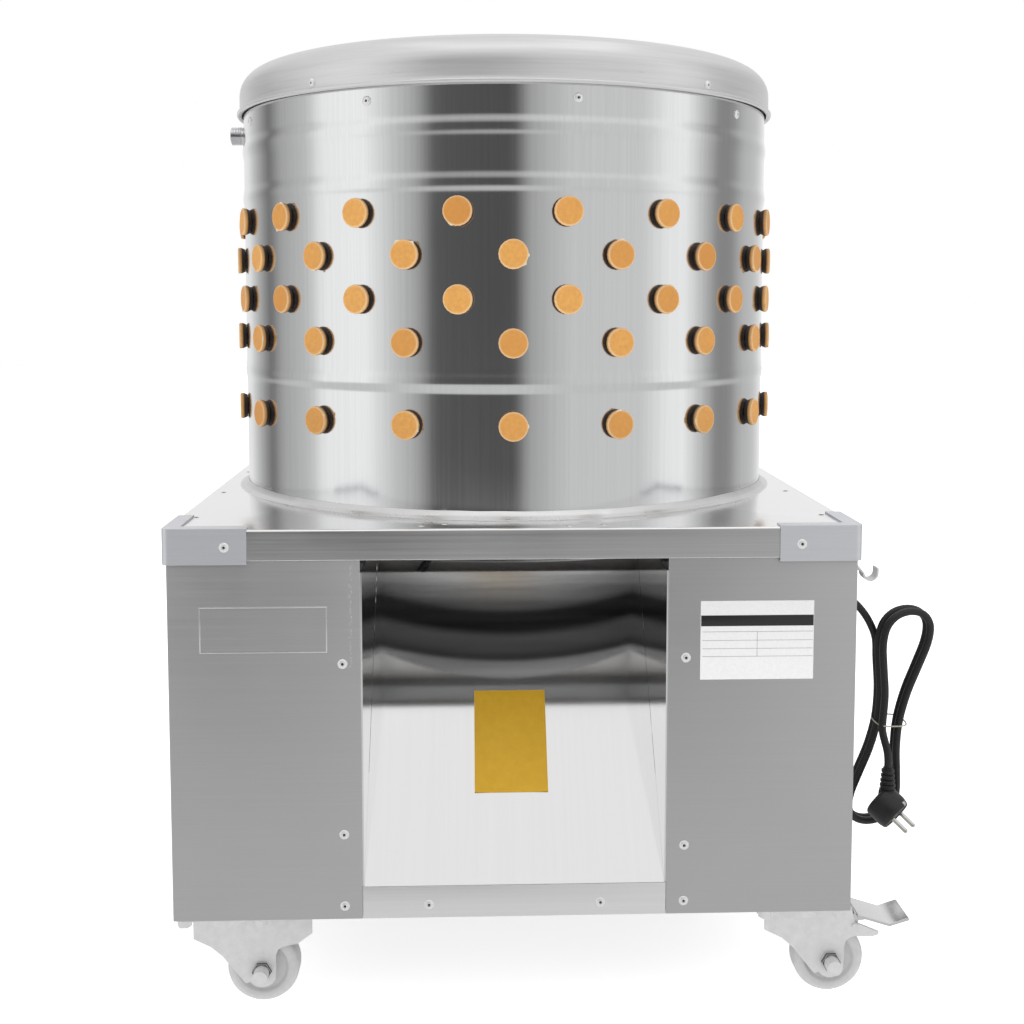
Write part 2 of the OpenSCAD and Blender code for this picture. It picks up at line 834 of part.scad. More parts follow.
module sweepers() {
    depth = pan_drop - feather_drop - sweeper_gap;
    reach = feather_d / 2 - 4;
    color("dimgray")
    for (i = [0 : sweeper_count - 1]) rotate([0, 0, i * 360 / sweeper_count])
        translate([sweeper_in, -sweeper_t / 2, feather_z - depth])
            cube([reach - sweeper_in, sweeper_t, depth]);
}

module main_shaft() {
    color("gainsboro")
    rotate_extrude()
        polygon([[0, pulley_z - 12], [shaft_r - 1, pulley_z - 12], [shaft_r, pulley_z - 11],
            [shaft_r, feather_z - hub_t], [hub_r, feather_z - hub_t], [hub_r, feather_z],
            [stud_r, feather_z], [stud_r, feather_z + feather_t + 12],
            [0, feather_z + feather_t + 12]]);
}

module hub_cap() {
    base = feather_z + feather_t;
    color("silver")
    rotate_extrude()
        polygon([[stud_r + fit_press, base], [34, base], [34, base + 4], [26, base + 14],
            [12, base + 19], [0, base + 20], [0, base + 12 + fit_press],
            [stud_r + fit_press, base + 12 + fit_press]]);
}

module pulley_profile(r, bore, height, web) {
    polygon([[bore, 0], [bore + 12, 0], [bore + 12, web], [r - groove_d - 8, web],
        [r - groove_d - 8, 0], [r, 0], [r, (height - belt_h) / 2 - fit_body],
        [r - groove_d, (height - belt_h) / 2 - fit_body],
        [r - groove_d, (height + belt_h) / 2 + fit_body], [r, (height + belt_h) / 2 + fit_body],
        [r, height], [r - groove_d - 8, height], [r - groove_d - 8, height - web],
        [bore + 12, height - web], [bore + 12, height], [bore, height]]);
}

module driven_pulley() {
    spokes = 6;
    hole_r = (pulley_r - groove_d - 8 - shaft_r - 12) / 2 - 8;
    color("dimgray")
    translate([0, 0, pulley_z]) difference() {
        rotate_extrude($fn = 96) pulley_profile(pulley_r, shaft_r + fit_press, pulley_h, 7);
        for (i = [0 : spokes - 1]) rotate([0, 0, i * 360 / spokes])
            translate([(pulley_r - groove_d - 8 + shaft_r + 12) / 2, 0, -1])
                cylinder(r = min(hole_r, 34), h = pulley_h + 2);
    }
}

module motor_pulley() {
    color("dimgray")
    translate([0, motor_y, pulley_z]) rotate_extrude()
        polygon([[motor_shaft_r + fit_press, 0], [pinion_r, 0],
            [pinion_r, (pulley_h - belt_h) / 2 - fit_body],
            [pinion_r - groove_d, (pulley_h - belt_h) / 2 - fit_body],
            [pinion_r - groove_d, (pulley_h + belt_h) / 2 + fit_body],
            [pinion_r, (pulley_h + belt_h) / 2 + fit_body], [pinion_r, pulley_h],
            [motor_shaft_r + fit_press, pulley_h]]);
}

module motor_shaft() {
    color("gainsboro")
    translate([0, motor_y, pulley_z - 4])
        cylinder(r = motor_shaft_r, h = motor_low + motor_flange_t + 12 - pulley_z);
}

// Outline of the belt at one distance inside the pulleys' rims: two arcs and their tangents
function belt_loop(inset) = concat(
    [for (i = [0 : 48]) let (a = 180 - belt_lean + (180 + 2 * belt_lean) * i / 48)
        (pulley_r - inset) * [cos(a), sin(a)]],
    [for (i = [0 : 24]) let (a = belt_lean + (180 - 2 * belt_lean) * i / 24)
        [0, motor_y] + (pinion_r - inset) * [cos(a), sin(a)]]
);

module drive_belt() {
    color("black")
    translate([0, 0, belt_z]) linear_extrude(belt_h) difference() {
        polygon(belt_loop(0));
        polygon(belt_loop(belt_t));
    }
}

// Drive inside the cabinet

module bearing_bridge() {
    color("gray")
    difference() {
        translate([-pan_x, -bridge_w / 2, bridge_low]) cube([2 * pan_x, bridge_w, bridge_h]);
        translate([-pan_x - 1, -bridge_w / 2 + bridge_wall, bridge_low + bridge_wall])
            cube([2 * pan_x + 2, bridge_w - 2 * bridge_wall, bridge_h - 2 * bridge_wall]);
        translate([0, 0, bridge_low - 1]) cylinder(r = housing_r + fit_body, h = bridge_h + 2);
        housing_bolts() cylinder(r = axle_r + fit_hole, h = 3 * bridge_h, center = true);
    }
}

module housing_bolts() {
    for (i = [0 : 3]) rotate([0, 0, 45 + 90 * i])
        translate([housing_r + 14, 0, bridge_low]) children();
}

module bearing_housing() {
    color("slategray")
    difference() {
        rotate_extrude() polygon([
            [shaft_r + fit_run, housing_low], [housing_r, housing_low],
            [housing_r, bridge_low - housing_flange_t],
            [housing_flange_r, bridge_low - housing_flange_t], [housing_flange_r, bridge_low],
            [housing_r, bridge_low], [housing_r, pan_under], [shaft_r + fit_run, pan_under],
            [shaft_r + fit_run, pan_under - land_h], [shaft_r + 6, pan_under - land_h - 6],
            [shaft_r + 6, housing_low + land_h + 6], [shaft_r + fit_run, housing_low + land_h]]);
        housing_bolts() cylinder(r = axle_r + fit_hole, h = 3 * bridge_h, center = true);
    }
}

module motor_body() {
    color("steelblue")
    translate([0, motor_y, 0]) difference() {
        union() {
            translate([0, 0, motor_low]) cylinder(r = motor_flange_r, h = motor_flange_t);
            translate([0, 0, motor_low + motor_flange_t])
                linear_extrude(motor_top - motor_low - motor_flange_t) {
                    circle(motor_r - fin_h);
                    for (i = [0 : fin_count - 1]) rotate([0, 0, i * 360 / fin_count])
                        translate([motor_r - 1.5 * fin_h, -fin_t / 2]) square([1.5 * fin_h, fin_t]);
                }
            translate([motor_r - 2 * fin_h, -terminal_size[1] / 2, motor_low + 60])
                cube([terminal_size[0] + 2 * fin_h, terminal_size[1], terminal_size[2]]);
        }
        translate([0, 0, motor_low - 1])
            cylinder(r = motor_shaft_r + fit_run, h = motor_flange_t + 20);
    }
}

module motor_cover() {
    color("black")
    translate([0, motor_y, motor_top]) difference() {
        cylinder(r = motor_r, h = motor_cover_h);
        translate([0, 0, -1]) cylinder(r = motor_r - 2, h = motor_cover_h - 1);
        for (ring = [26, 44, 60]) for (i = [0 : 11]) rotate([0, 0, i * 30])
            translate([ring, 0, motor_cover_h - 4]) cylinder(r = 4, h = 8);
    }
}

module motor_plate() {
    slot = 24;
    color("gray")
    translate([0, 0, motor_plate_z]) difference() {
        translate([-frame_x + 4, 70, 0]) cube([2 * frame_x - 8, frame_y - tube - 74, motor_plate_t]);
        translate([0, motor_y, -1]) linear_extrude(motor_plate_t + 2)
            rounded_rect(pinion_d + 20, pinion_d + 20 + slot, pinion_d / 2);
    }
}

// Water, power and small fittings

module cable_gland() {
    color("black")
    facing_side(1, gland_y, gland_z) rotate_extrude() polygon([
        [cord_r + fit_hole, 0], [gland_r, 0], [gland_r, gland_nut_t], [gland_r - 2, gland_nut_t],
        [gland_r - 2, gland_nut_t + 3], [gland_tip_r, gland_len], [0, gland_len],
        [0, gland_len - 4], [cord_r + fit_hole, gland_len - 4]]);
}

// Bent strip on the right wall: a tab, a slope down and out, and a round hook
module cable_hook() {
    bend = [hook_x, plate_z - hook_drop];
    color("silver")
    translate([panel_x, hook_y + hook_w / 2, 0]) rotate([90, 0, 0]) linear_extrude(hook_w)
        polygon(concat(
            [[0, hook_top]],
            [for (a = [180 : 15 : 360]) bend + (hook_r - hook_t) * [cos(a), sin(a)]],
            [bend + [hook_r - hook_t, hook_tip], bend + [hook_r, hook_tip]],
            [for (a = [360 : -15 : 180]) bend + hook_r * [cos(a), sin(a)]],
            [[hook_t, hook_top - 8], [hook_t, hook_top - hook_tab], [0, hook_top - hook_tab]]));
}

module button_place(dz) {
    translate([panel_x + switch_size[0], switch_y + switch_size[1] / 2, switch_z + dz]) rotate([0, 90, 0])
        children();
}

module switch_box() {
    wall_r = 5;
    color("dimgray")
    difference() {
        translate([panel_x, switch_y + switch_size[1] / 2, switch_z]) rotate([0, 90, 0])
            linear_extrude(switch_size[0]) rounded_rect(switch_size[2], switch_size[1], wall_r);
        for (dz = [-button_gap, button_gap]) button_place(dz)
            translate([0, 0, -button_in - 6]) cylinder(r = button_r + fit_run, h = button_in + 10);
    }
}

module button(dz, tint) {
    color(tint)
    button_place(dz) rotate_extrude() polygon([[0, -button_in], [button_r, -button_in],
        [button_r, button_out - 2], [button_r - 2, button_out], [0, button_out]]);
}

// Casters: swivel axis at x = y = 0, the wheel trails to +X

module at_caster(sx, sy, turn) {
    translate([sx * swivel_x, sy * swivel_y, 0]) rotate([0, 0, turn]) children();
}

module caster_bolt_places() {
    for (sx = [-1, 1]) for (sy = [-1, 1]) at_caster(sx, sy, 0)
        for (bx = [-1, 1]) for (by = [-1, 1])
            translate([bx * caster_bolt_in, by * caster_bolt_in, caster_h]) children();
}

module caster_plates() {
    color("silver") {
        difference() {
            for (sx = [-1, 1]) for (sy = [-1, 1]) at_caster(sx, sy, 0) difference() {
                union() {
                    translate([0, 0, caster_h - caster_plate_t]) linear_extrude(caster_plate_t)
                        rounded_rect(caster_plate_w, caster_plate_w, 6);
                    translate([0, 0, caster_h - race_h]) cylinder(r = race_r, h = race_h);
                }
                translate([0, 0, caster_h - 20])
                    cylinder(r = kingpin_r + fit_run, h = 30);
            }
            caster_bolt_places() cylinder(r = axle_r + fit_hole, h = 100, center = true);
        }
        caster_bolt_places() {
            translate([0, 0, -caster_plate_t - bolt_head_t])
                cylinder(r = bolt_head_r, h = bolt_head_t, $fn = 6);
            translate([0, 0, -caster_plate_t - 1])
                cylinder(r = axle_r, h = 1 + caster_plate_t + gusset_t + tube_wall);
        }
    }
}

// Side of a fork: wide under the race, round under the axle, with an arm behind the wheel that
// is cut lower where a pedal lies over it
function fork_outline(braked) = concat(
    [[-race_r - 5, fork_rise], [-race_r - 5, wheel_r + 33], [-15, wheel_r + 24.5], [-4, wheel_r + 15],
        [4.5, wheel_r + 4], [18, wheel_r - 12.5]],
    [for (a = [215 : 20 : 335]) [trail + 14 * cos(a), wheel_r - 3 + 14 * sin(a)]],
    [[trail + 13.5, wheel_r + 4], [trail + 13.5, wheel_r + 15], [trail + 15.5, wheel_r + 21],
        [trail + 20, wheel_r + 24], [trail + 25, wheel_r + 25]],
    braked ? [[trail + 42, wheel_r + 24.5], [trail + 47, wheel_r + 26], [trail + 48, wheel_r + 29],
        [trail + 24, fork_top - 10], [trail + 20, fork_rise]]
    : [[trail + 35, wheel_r + 27], [trail + 49, wheel_r + 37], [trail + 49, fork_rise]]
);

module fork(braked) {
    leg = fork_in + fork_t;
    color("silver")
    union() {
        for (side = [-1, 1])
            translate([0, side > 0 ? leg : -fork_in, 0]) rotate([90, 0, 0])
                linear_extrude(fork_t) polygon(fork_outline(braked));
        translate([-race_r - 5, -fork_in - 1, fork_top - fork_t])
            cube([race_r - 5 + trail, 2 * fork_in + 2, fork_t]);
        translate([0, 0, fork_top - 1]) cylinder(r = race_r - 1, h = race_gap - fit_body + 1);
        translate([0, 0, fork_top - 1]) cylinder(r = kingpin_r, h = caster_h - 1 - fork_top);
        translate([trail, 0, wheel_r]) rotate([90, 0, 0]) {
            cylinder(r = axle_r, h = 2 * leg, center = true);
            for (side = [-1, 1]) {
                translate([0, 0, side * (leg + axle_nut_t / 2)])
                    cylinder(r = axle_nut_r, h = axle_nut_t, center = true, $fn = 6);
                translate([0, 0, side * (leg + (axle_nut_t + axle_end) / 2)])
                    cylinder(r = axle_end_r, h = axle_nut_t + axle_end, center = true);
            }
        }
        if (braked) translate([pedal_pivot_x, 0, pedal_pivot_z]) rotate([90, 0, 0])
            cylinder(r = pedal_pin_r, h = 2 * leg + 4, center = true);
    }
}

module wheel() {
    half = wheel_w / 2;
    color("lightgray")
    translate([trail, 0, wheel_r]) rotate([90, 0, 0]) difference() {
        rotate_extrude($fn = 96) polygon([
            [0, -hub_w / 2], [11, -hub_w / 2], [12, -half + 3], [wheel_r - 13, -half + 3],
            [wheel_r - 10, -half], [wheel_r - 4, -half], [wheel_r - 1, -half + 4], [wheel_r, -half + 8],
            [wheel_r, half - 8], [wheel_r - 1, half - 4], [wheel_r - 4, half], [wheel_r - 10, half],
            [wheel_r - 13, half - 3], [12, half - 3], [11, hub_w / 2], [0, hub_w / 2]]);
        cylinder(r = axle_r + fit_run, h = 2 * hub_w, center = true);
    }
}

// Bent plate behind the wheel: down from the pivot's arm, then up to the tip
module pedal() {
    near = pedal_pivot_x + 3;
    dip = pedal_reach - 20;
    high = fork_top - 1;
    color("silver")
    difference() {
        union() {
            translate([0, pedal_w / 2, 0]) rotate([90, 0, 0]) linear_extrude(pedal_w) polygon([
                [near, high], [dip, high - 10], [pedal_reach - 1, high - 4], [pedal_reach, high - 7],
                [dip, high - 10 - pedal_t], [near, high - pedal_t]]);
            translate([0, fork_in - fit_body, 0]) rotate([90, 0, 0])
                linear_extrude(2 * (fork_in - fit_body)) {
                    translate([pedal_pivot_x, pedal_pivot_z]) circle(pedal_eye_r);
                    polygon([[pedal_pivot_x - 3, pedal_pivot_z + 3], [near - 2, high],
                        [near + 6, high - 2], [pedal_pivot_x + 4, pedal_pivot_z]]);
                }
        }
        translate([pedal_pivot_x, 0, pedal_pivot_z]) rotate([90, 0, 0])
            cylinder(r = pedal_pin_r + fit_run, h = 4 * fork_in, center = true);
    }
}

// Cord: tubes swept along their points

function route_heading(points, i) =
    i == 0 ? unit(points[1] - points[0])
    : i == len(points) - 1 ? unit(points[i] - points[i - 1])
    : unit(unit(points[i + 1] - points[i]) + unit(points[i] - points[i - 1]));

function ring_points(points, i, r, sides) =
    let (along = route_heading(points, i))
    let (side = unit(cross(along, [0, 1, 0])))
    let (up = cross(side, along))
    [for (k = [0 : sides - 1]) points[i] + r * (cos(360 * k / sides) * side + sin(360 * k / sides) * up)];

module swept_tube(points, r, sides) {
    rings = len(points);
    rims = [for (i = [0 : rings - 1]) each ring_points(points, i, r, sides)];
    walls = [for (i = [0 : rings - 2]) for (k = [0 : sides - 1])
        let (a = i * sides + k)
        let (b = i * sides + (k + 1) % sides)
        each [[a, b, b + sides], [a, b + sides, a + sides]]];
    first = [for (k = [1 : sides - 2]) [0, k + 1, k]];
    last = [for (k = [1 : sides - 2]) [(rings - 1) * sides, (rings - 1) * sides + k, (rings - 1) * sides + k + 1]];
    polyhedron(points = rims, faces = concat(walls, first, last));
}

module cord_lead() {
    color("black") swept_tube(lead_route, cord_r, 8);
}

module cord_hank() {
    color("black") swept_tube(hank_route, cord_r, 6);
}

// Wire round the waist of the hank
module cord_tie() {
    step = hank_y - hank_last[1];
    slack = cord_r + fit_body;
    wide = 2 * waist_half + 2 * slack;
    deep = step + 2 * slack;
    color("lightgray")
    translate([hank_x, hank_y - step / 2, hank_z - tie_h / 2]) linear_extrude(tie_h) difference() {
        rounded_rect(wide + 2 * tie_t, deep + 2 * tie_t, slack + tie_t);
        rounded_rect(wide, deep, slack);
    }
}

// Angled plug: a ribbed strain relief above a round body whose pins point down and out
module plug() {
    ribs = 4;
    rib = plug_relief / ribs;
    sunk = 8;
    centre = plug_top - [0, 0, plug_relief + plug_r - 2];
    color("black") {
        translate(plug_top - [0, 0, plug_relief + sunk]) rotate_extrude() polygon(concat(
            [[0, 0], [plug_relief_r, 0]],
            [for (i = [0 : ribs - 1]) each [[plug_relief_r - 0.3 * i, sunk + i * rib],
                [plug_relief_r - 0.3 * i, sunk + (i + 0.6) * rib],
                [plug_relief_r - 1.6 - 0.3 * i, sunk + (i + 0.7) * rib],
                [plug_relief_r - 1.6 - 0.3 * i, sunk + (i + 0.95) * rib]]],
            [[cord_r + 1, sunk + plug_relief], [0, sunk + plug_relief]]));
        translate(centre) rotate([0, 0, plug_yaw]) rotate([0, 90 + plug_pitch, 0]) {
            rotate_extrude() polygon([[0, -plug_t / 2], [plug_r - 4, -plug_t / 2],
                [plug_r, -plug_t / 2 + 4], [plug_r, plug_t / 2 - 6], [plug_face_r, plug_t / 2],
                [0, plug_t / 2]]);
            for (side = [-1, 1]) translate([0, side * pin_gap / 2, 0])
                cylinder(r = pin_r, h = plug_t / 2 + pin_len);
        }
    }
}

top_plate();
corner_caps();
front_panel(-1);  // front_panel_left
front_panel(1);  // front_panel_right
side_panel(-1);  // side_panel_left
side_panel(1);  // side_panel_right
back_panel();
sill_rail();
chute_sheet();
chute_wall(-1);  // chute_wall_left
chute_wall(1);  // chute_wall_right
catch_pan();
frame_posts();
base_rails();
frame_rails();
pop_rivets();
drum();
rim_ring();
wall_fingers(0);  // wall_fingers_1
wall_fingers(1);  // wall_fingers_2
wall_fingers(2);  // wall_fingers_3
wall_fingers(3);  // wall_fingers_4
wall_fingers(4);  // wall_fingers_5
spray_ring();
spray_clips();
inlet_nipple();
bearing_bridge();
bearing_housing();
motor_body();
motor_cover();
motor_plate();
drive_belt();
cable_gland();
cable_hook();
switch_box();
button(-button_gap, "green");  // start_button
button(button_gap, "red");  // stop_button
caster_plates();
feather_plate();
plate_fingers();
sweepers();
main_shaft();
hub_cap();
driven_pulley();
motor_shaft();
motor_pulley();
at_caster(-1, -1, 0) fork(false);  // fork_front_left
at_caster(1, -1, 0) fork(true);  // fork_front_right
at_caster(-1, 1, 180) fork(true);  // fork_rear_left
at_caster(1, 1, 0) fork(false);  // fork_rear_right
at_caster(-1, -1, 0) wheel();  // wheel_front_left
at_caster(1, -1, 0) wheel();  // wheel_front_right
at_caster(-1, 1, 180) wheel();  // wheel_rear_left
at_caster(1, 1, 0) wheel();  // wheel_rear_right
at_caster(1, -1, 0) pedal();  // pedal_front_right
at_caster(-1, 1, 180) pedal();  // pedal_rear_left
cord_lead();
cord_hank();
cord_tie();
plug();
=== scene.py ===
import math
import random

import bmesh
import bpy
from mathutils import Matrix, Vector


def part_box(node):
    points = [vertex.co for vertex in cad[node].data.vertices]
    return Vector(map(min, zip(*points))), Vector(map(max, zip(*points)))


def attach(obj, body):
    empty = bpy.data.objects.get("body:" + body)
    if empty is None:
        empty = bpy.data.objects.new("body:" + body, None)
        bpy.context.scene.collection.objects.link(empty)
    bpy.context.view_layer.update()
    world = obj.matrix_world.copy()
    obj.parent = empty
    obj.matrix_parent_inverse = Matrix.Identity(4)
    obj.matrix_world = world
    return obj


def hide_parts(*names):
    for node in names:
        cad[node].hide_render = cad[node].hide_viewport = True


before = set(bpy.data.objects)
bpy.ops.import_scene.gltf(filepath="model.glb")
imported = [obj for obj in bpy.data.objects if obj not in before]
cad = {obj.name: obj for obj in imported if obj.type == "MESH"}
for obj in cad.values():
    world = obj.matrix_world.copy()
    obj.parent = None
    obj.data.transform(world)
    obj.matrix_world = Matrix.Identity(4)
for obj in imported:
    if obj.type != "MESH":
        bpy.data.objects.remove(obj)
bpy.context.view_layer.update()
scene = bpy.context.scene
print("frame loaded,", len(cad), "nodes")

mm = 0.001         # lengths in the setups are in millimetres, and the scene is in metres
plateZ = 476       # face of the top plate
panelX = 324.5     # outer face of the side panels
panelY = 346.5     # outer face of the front and back panels
drumR = 300


# camera

cameraSetup = {
    "lens": 45.79,
    "shiftY": -0.1099,
    "place": (-44.2, -1549.6, 693),
    "tilt": 85.42,
    "turn": -1.97,
}


def setCamera():
    lensData = bpy.data.cameras.new("frontCamera")
    lensData.lens = cameraSetup["lens"]
    lensData.sensor_width = 36
    lensData.shift_y = cameraSetup["shiftY"]
    lensData.clip_end = 60
    eye = bpy.data.objects.new("frontCamera", lensData)
    eye.location = [v * mm for v in cameraSetup["place"]]
    eye.rotation_euler = (math.radians(cameraSetup["tilt"]), 0, math.radians(cameraSetup["turn"]))
    scene.collection.objects.link(eye)
    scene.camera = eye


setCamera()
print("camera set")


# shader helpers

def setInputs(tree, node, values):
    # a socket of another node is linked, and anything else becomes the input's own value
    for key, value in values.items():
        if hasattr(value, "is_output"):
            tree.links.new(value, node.inputs[key])
        else:
            node.inputs[key].default_value = value


def addNode(tree, kind, settings=None, values=None, output=0):
    # makes a node and hands over one of its outputs
    node = tree.nodes.new(kind)
    for key, value in (settings or {}).items():
        setattr(node, key, value)
    setInputs(tree, node, values or {})
    return node.outputs[output]


def startMaterial(name, colour, metallic, roughness):
    material = bpy.data.materials.new(name)
    material.use_nodes = True
    tree = material.node_tree
    surface = tree.nodes["Principled BSDF"]
    setInputs(tree, surface, {"Base Color": (*colour, 1), "Metallic": metallic, "Roughness": roughness})
    return material, tree, surface


def objectNoise(tree, stretch, detail, roughness):
    place = addNode(tree, "ShaderNodeTexCoord", output="Object")
    mapped = addNode(tree, "ShaderNodeMapping", values={"Vector": place, "Scale": stretch})
    return addNode(tree, "ShaderNodeTexNoise", values={
        "Vector": mapped, "Scale": 1.0, "Detail": detail, "Roughness": roughness}, output="Fac")


def spreadTo(tree, value, low, high, source=(0.3, 0.7)):
    return addNode(tree, "ShaderNodeMapRange", values={
        "Value": value, "From Min": source[0], "From Max": source[1], "To Min": low, "To Max": high})


def mixColours(tree, factor, first, second):
    first, second = [c if hasattr(c, "is_output") else (*c, 1) for c in (first, second)]
    return addNode(tree, "ShaderNodeMix", {"data_type": "RGBA"}, {0: factor, 6: first, 7: second}, 2)


def rampOf(tree, value, levels):
    # grey levels along a value from 0 to 1
    ramp = tree.nodes.new("ShaderNodeValToRGB")
    setInputs(tree, ramp, {"Fac": value})
    stops = ramp.color_ramp.elements
    while len(stops) < len(levels):
        stops.new(0.5)
    for stop, (place, level) in zip(stops, levels):
        stop.position = place
        stop.color = (level, level, level, 1)
    return ramp.outputs["Color"]


def flatten(tree, vector):
    # the part of a vector along the floor
    return addNode(tree, "ShaderNodeVectorMath", {"operation": "MULTIPLY"}, {0: vector, 1: (1, 1, 0)})


def markOf(tree, name):
    # a number stored on the mesh's points
    return addNode(tree, "ShaderNodeAttribute", {"attribute_name": name}, output="Fac")


def addBump(tree, surface, height, strength, distance):
    bump = addNode(tree, "ShaderNodeBump", values={
        "Height": height, "Strength": strength, "Distance": distance})
    setInputs(tree, surface, {"Normal": bump})


def brushedMetal(name, colour, roughness, grain, depth=0.1, stain=0.03, blotch=7.0, contrast=0.08,
                 metallic=1.0):
    material, tree, surface = startMaterial(name, colour, metallic, roughness)
    lines = objectNoise(tree, grain, 5.0, 0.65)
    cloud = objectNoise(tree, (blotch,) * 3, 3.0, 0.55)
    fine = spreadTo(tree, lines, roughness * (1 - contrast), roughness * (1 + contrast))
    broad = spreadTo(tree, cloud, -stain, stain)
    total = addNode(tree, "ShaderNodeMath", {"operation": "ADD", "use_clamp": True}, {0: fine, 1: broad})
    dark = tuple(c * (1 - contrast / 2) for c in colour)
    light = tuple(min(1, c * (1 + contrast / 3)) for c in colour)
    tint = mixColours(tree, spreadTo(tree, lines, 0, 1), dark, light)
    setInputs(tree, surface, {"Base Color": tint, "Roughness": total})
    addBump(tree, surface, lines, depth, 0.00004)
    return material


def speckled(name, colour, shade, roughness, scale, depth=0.2, metallic=0.0):
    material, tree, surface = startMaterial(name, colour, metallic, roughness)
    spots = objectNoise(tree, (scale,) * 3, 5.0, 0.6)
    tint = mixColours(tree, spreadTo(tree, spots, 0, 1), shade, colour)
    rough = spreadTo(tree, spots, roughness * 1.15, roughness * 0.85)
    setInputs(tree, surface, {"Base Color": tint, "Roughness": rough})
    addBump(tree, surface, spots, depth, 0.0002)
    return material


def fingerRubber():
    # warm natural rubber, each finger lighter or darker, with painted shade behind the head and a little on
    # the body, and pale round its face
    material, tree, surface = startMaterial("fingerRubber", (0.77, 0.37, 0.08), 0.0, 0.55)
    spots = objectNoise(tree, (240, 240, 240), 5.0, 0.65)
    face = mixColours(tree, markOf(tree, "tone"), (0.66, 0.29, 0.06), (0.84, 0.43, 0.11))
    mottled = mixColours(tree, spreadTo(tree, spots, 0, 0.5), face, (0.55, 0.24, 0.06))
    # painted shade: the 'side' mark turns the undercut behind the head nearly black and darkens the body
    # inside the drum a little
    withPaintedShade = mixColours(tree, markOf(tree, "side"), mottled, (0.025, 0.016, 0.012))
    trimmed = mixColours(tree, markOf(tree, "rim"), withPaintedShade, (0.9, 0.68, 0.42))
    rough = spreadTo(tree, spots, 0.62, 0.42)
    setInputs(tree, surface, {"Base Color": trimmed, "Roughness": rough, "Specular IOR Level": 0.4})
    addBump(tree, surface, spots, 0.35, 0.0003)
    return material


def rivetFinish():
    # pale aluminium, with the middle painted near black: partly the mandrel's own darker steel and partly
    # painted shade down its hollow
    material, tree, surface = startMaterial("rivetAluminium", (0.86, 0.86, 0.86), 0.6, 0.38)
    spots = objectNoise(tree, (700, 700, 700), 3.0, 0.5)
    bright = mixColours(tree, spreadTo(tree, spots, 0, 1), (0.8, 0.8, 0.8), (0.92, 0.92, 0.92))
    withPaintedShade = mixColours(tree, markOf(tree, "mandrelShade"), bright, (0.05, 0.05, 0.05))
    setInputs(tree, surface, {"Base Color": withPaintedShade})
    return material


# painted reflection and shade on the pan: darker and lighter bands, by distance from a point behind the
# drum's axis
panSetup = {
    "centre": (0, 230, 0),
    "paintedBands": ((0, 0.6), (405, 0.8), (417, 0.5), (428, 0.3), (440, 0.16), (448, 0.02), (470, 0.006),
              (480, 0.12), (495, 0.1), (508, 0.02), (513, 0.34), (540, 0.5)),
}


def panFinish():
    material, tree, surface = startMaterial("panSteelPaintedBands", (0.4, 0.4, 0.4), 1.0, 0.26)
    paintedBands = panSetup["paintedBands"]
    last = paintedBands[-1][0]
    centre = tuple(v * mm for v in panSetup["centre"])
    place = addNode(tree, "ShaderNodeTexCoord", output="Object")
    away = addNode(tree, "ShaderNodeVectorMath", {"operation": "SUBTRACT"}, {0: place, 1: centre})
    reach = addNode(tree, "ShaderNodeVectorMath", {"operation": "LENGTH"}, {0: flatten(tree, away)}, "Value")
    share = spreadTo(tree, reach, 0, 1, (0, last * mm))
    # the bands are painted reflections of the surroundings and painted shade, not the steel's own colour
    paintedReflections = rampOf(tree, share, [(radius / last, level) for radius, level in paintedBands])
    streaks = objectNoise(tree, (4, 110, 110), 4.0, 0.6)
    tint = mixColours(tree, spreadTo(tree, streaks, 0, 0.5), paintedReflections, (0.05, 0.05, 0.05))
    setInputs(tree, surface, {"Base Color": tint})
    addBump(tree, surface, streaks, 0.1, 0.0001)
    return material


brushedSetup = {
    # name, colour, roughness, grain, and then depth, stain, blotch, contrast and metallic where they differ
    "drum": ("drumSteel", (0.82, 0.825, 0.83), 0.13, (420, 420, 2.5), 0.1, 0.02),
    "rim": ("rimSteel", (0.73, 0.73, 0.735), 0.34, (7, 7, 320), 0.12, 0.05, 9.0, 0.14, 0.65),
    "plate": ("plateSteel", (0.88, 0.88, 0.885), 0.17, (3, 420, 420), 0.08, 0.03),
    "lip": ("lipSteel", (0.7, 0.7, 0.705), 0.36, (4, 4, 600), 0.1, 0.04, 9.0, 0.14),
    "panel": ("panelSteel", (0.68, 0.68, 0.685), 0.5, (5, 5, 700), 0.08, 0.03, 12.0, 0.06),
    "cap": ("capZinc", (0.75, 0.76, 0.795), 0.44, (12, 12, 500), 0.06, 0.03, 12.0, 0.05, 0.82),
    "sill": ("sillSteel", (0.82, 0.82, 0.82), 0.4, (4, 4, 600), 0.06, 0.03, 9.0, 0.06, 0.7),
    "satin": ("satinSteel", (0.9, 0.9, 0.9), 0.42, (120, 120, 120), 0.08, 0.03, 9.0, 0.06, 0.1),
    "chute": ("chuteSteel", (0.87, 0.87, 0.87), 0.08, (200, 3, 3), 0.02, 0.015, 5.0, 0.03),
    "zinc": ("forkZinc", (0.76, 0.76, 0.76), 0.42, (120, 120, 120), 0.15, 0.05, 40.0, 0.14, 0.35),
    "pedal": ("pedalSteel", (0.82, 0.82, 0.83), 0.2, (60, 400, 400), 0.1),
    "shaft": ("shaftSteel", (0.72, 0.72, 0.73), 0.25, (3, 3, 500), 0.1),
    "edge": ("frameEdge", (0.86, 0.86, 0.86), 0.4, (300, 300, 300), 0.05, 0.03, 7.0, 0.08, 0.9),
    "weld": ("footWeld", (0.72, 0.72, 0.72), 0.32, (60, 60, 60), 0.2, 0.05, 60.0, 0.1),
}
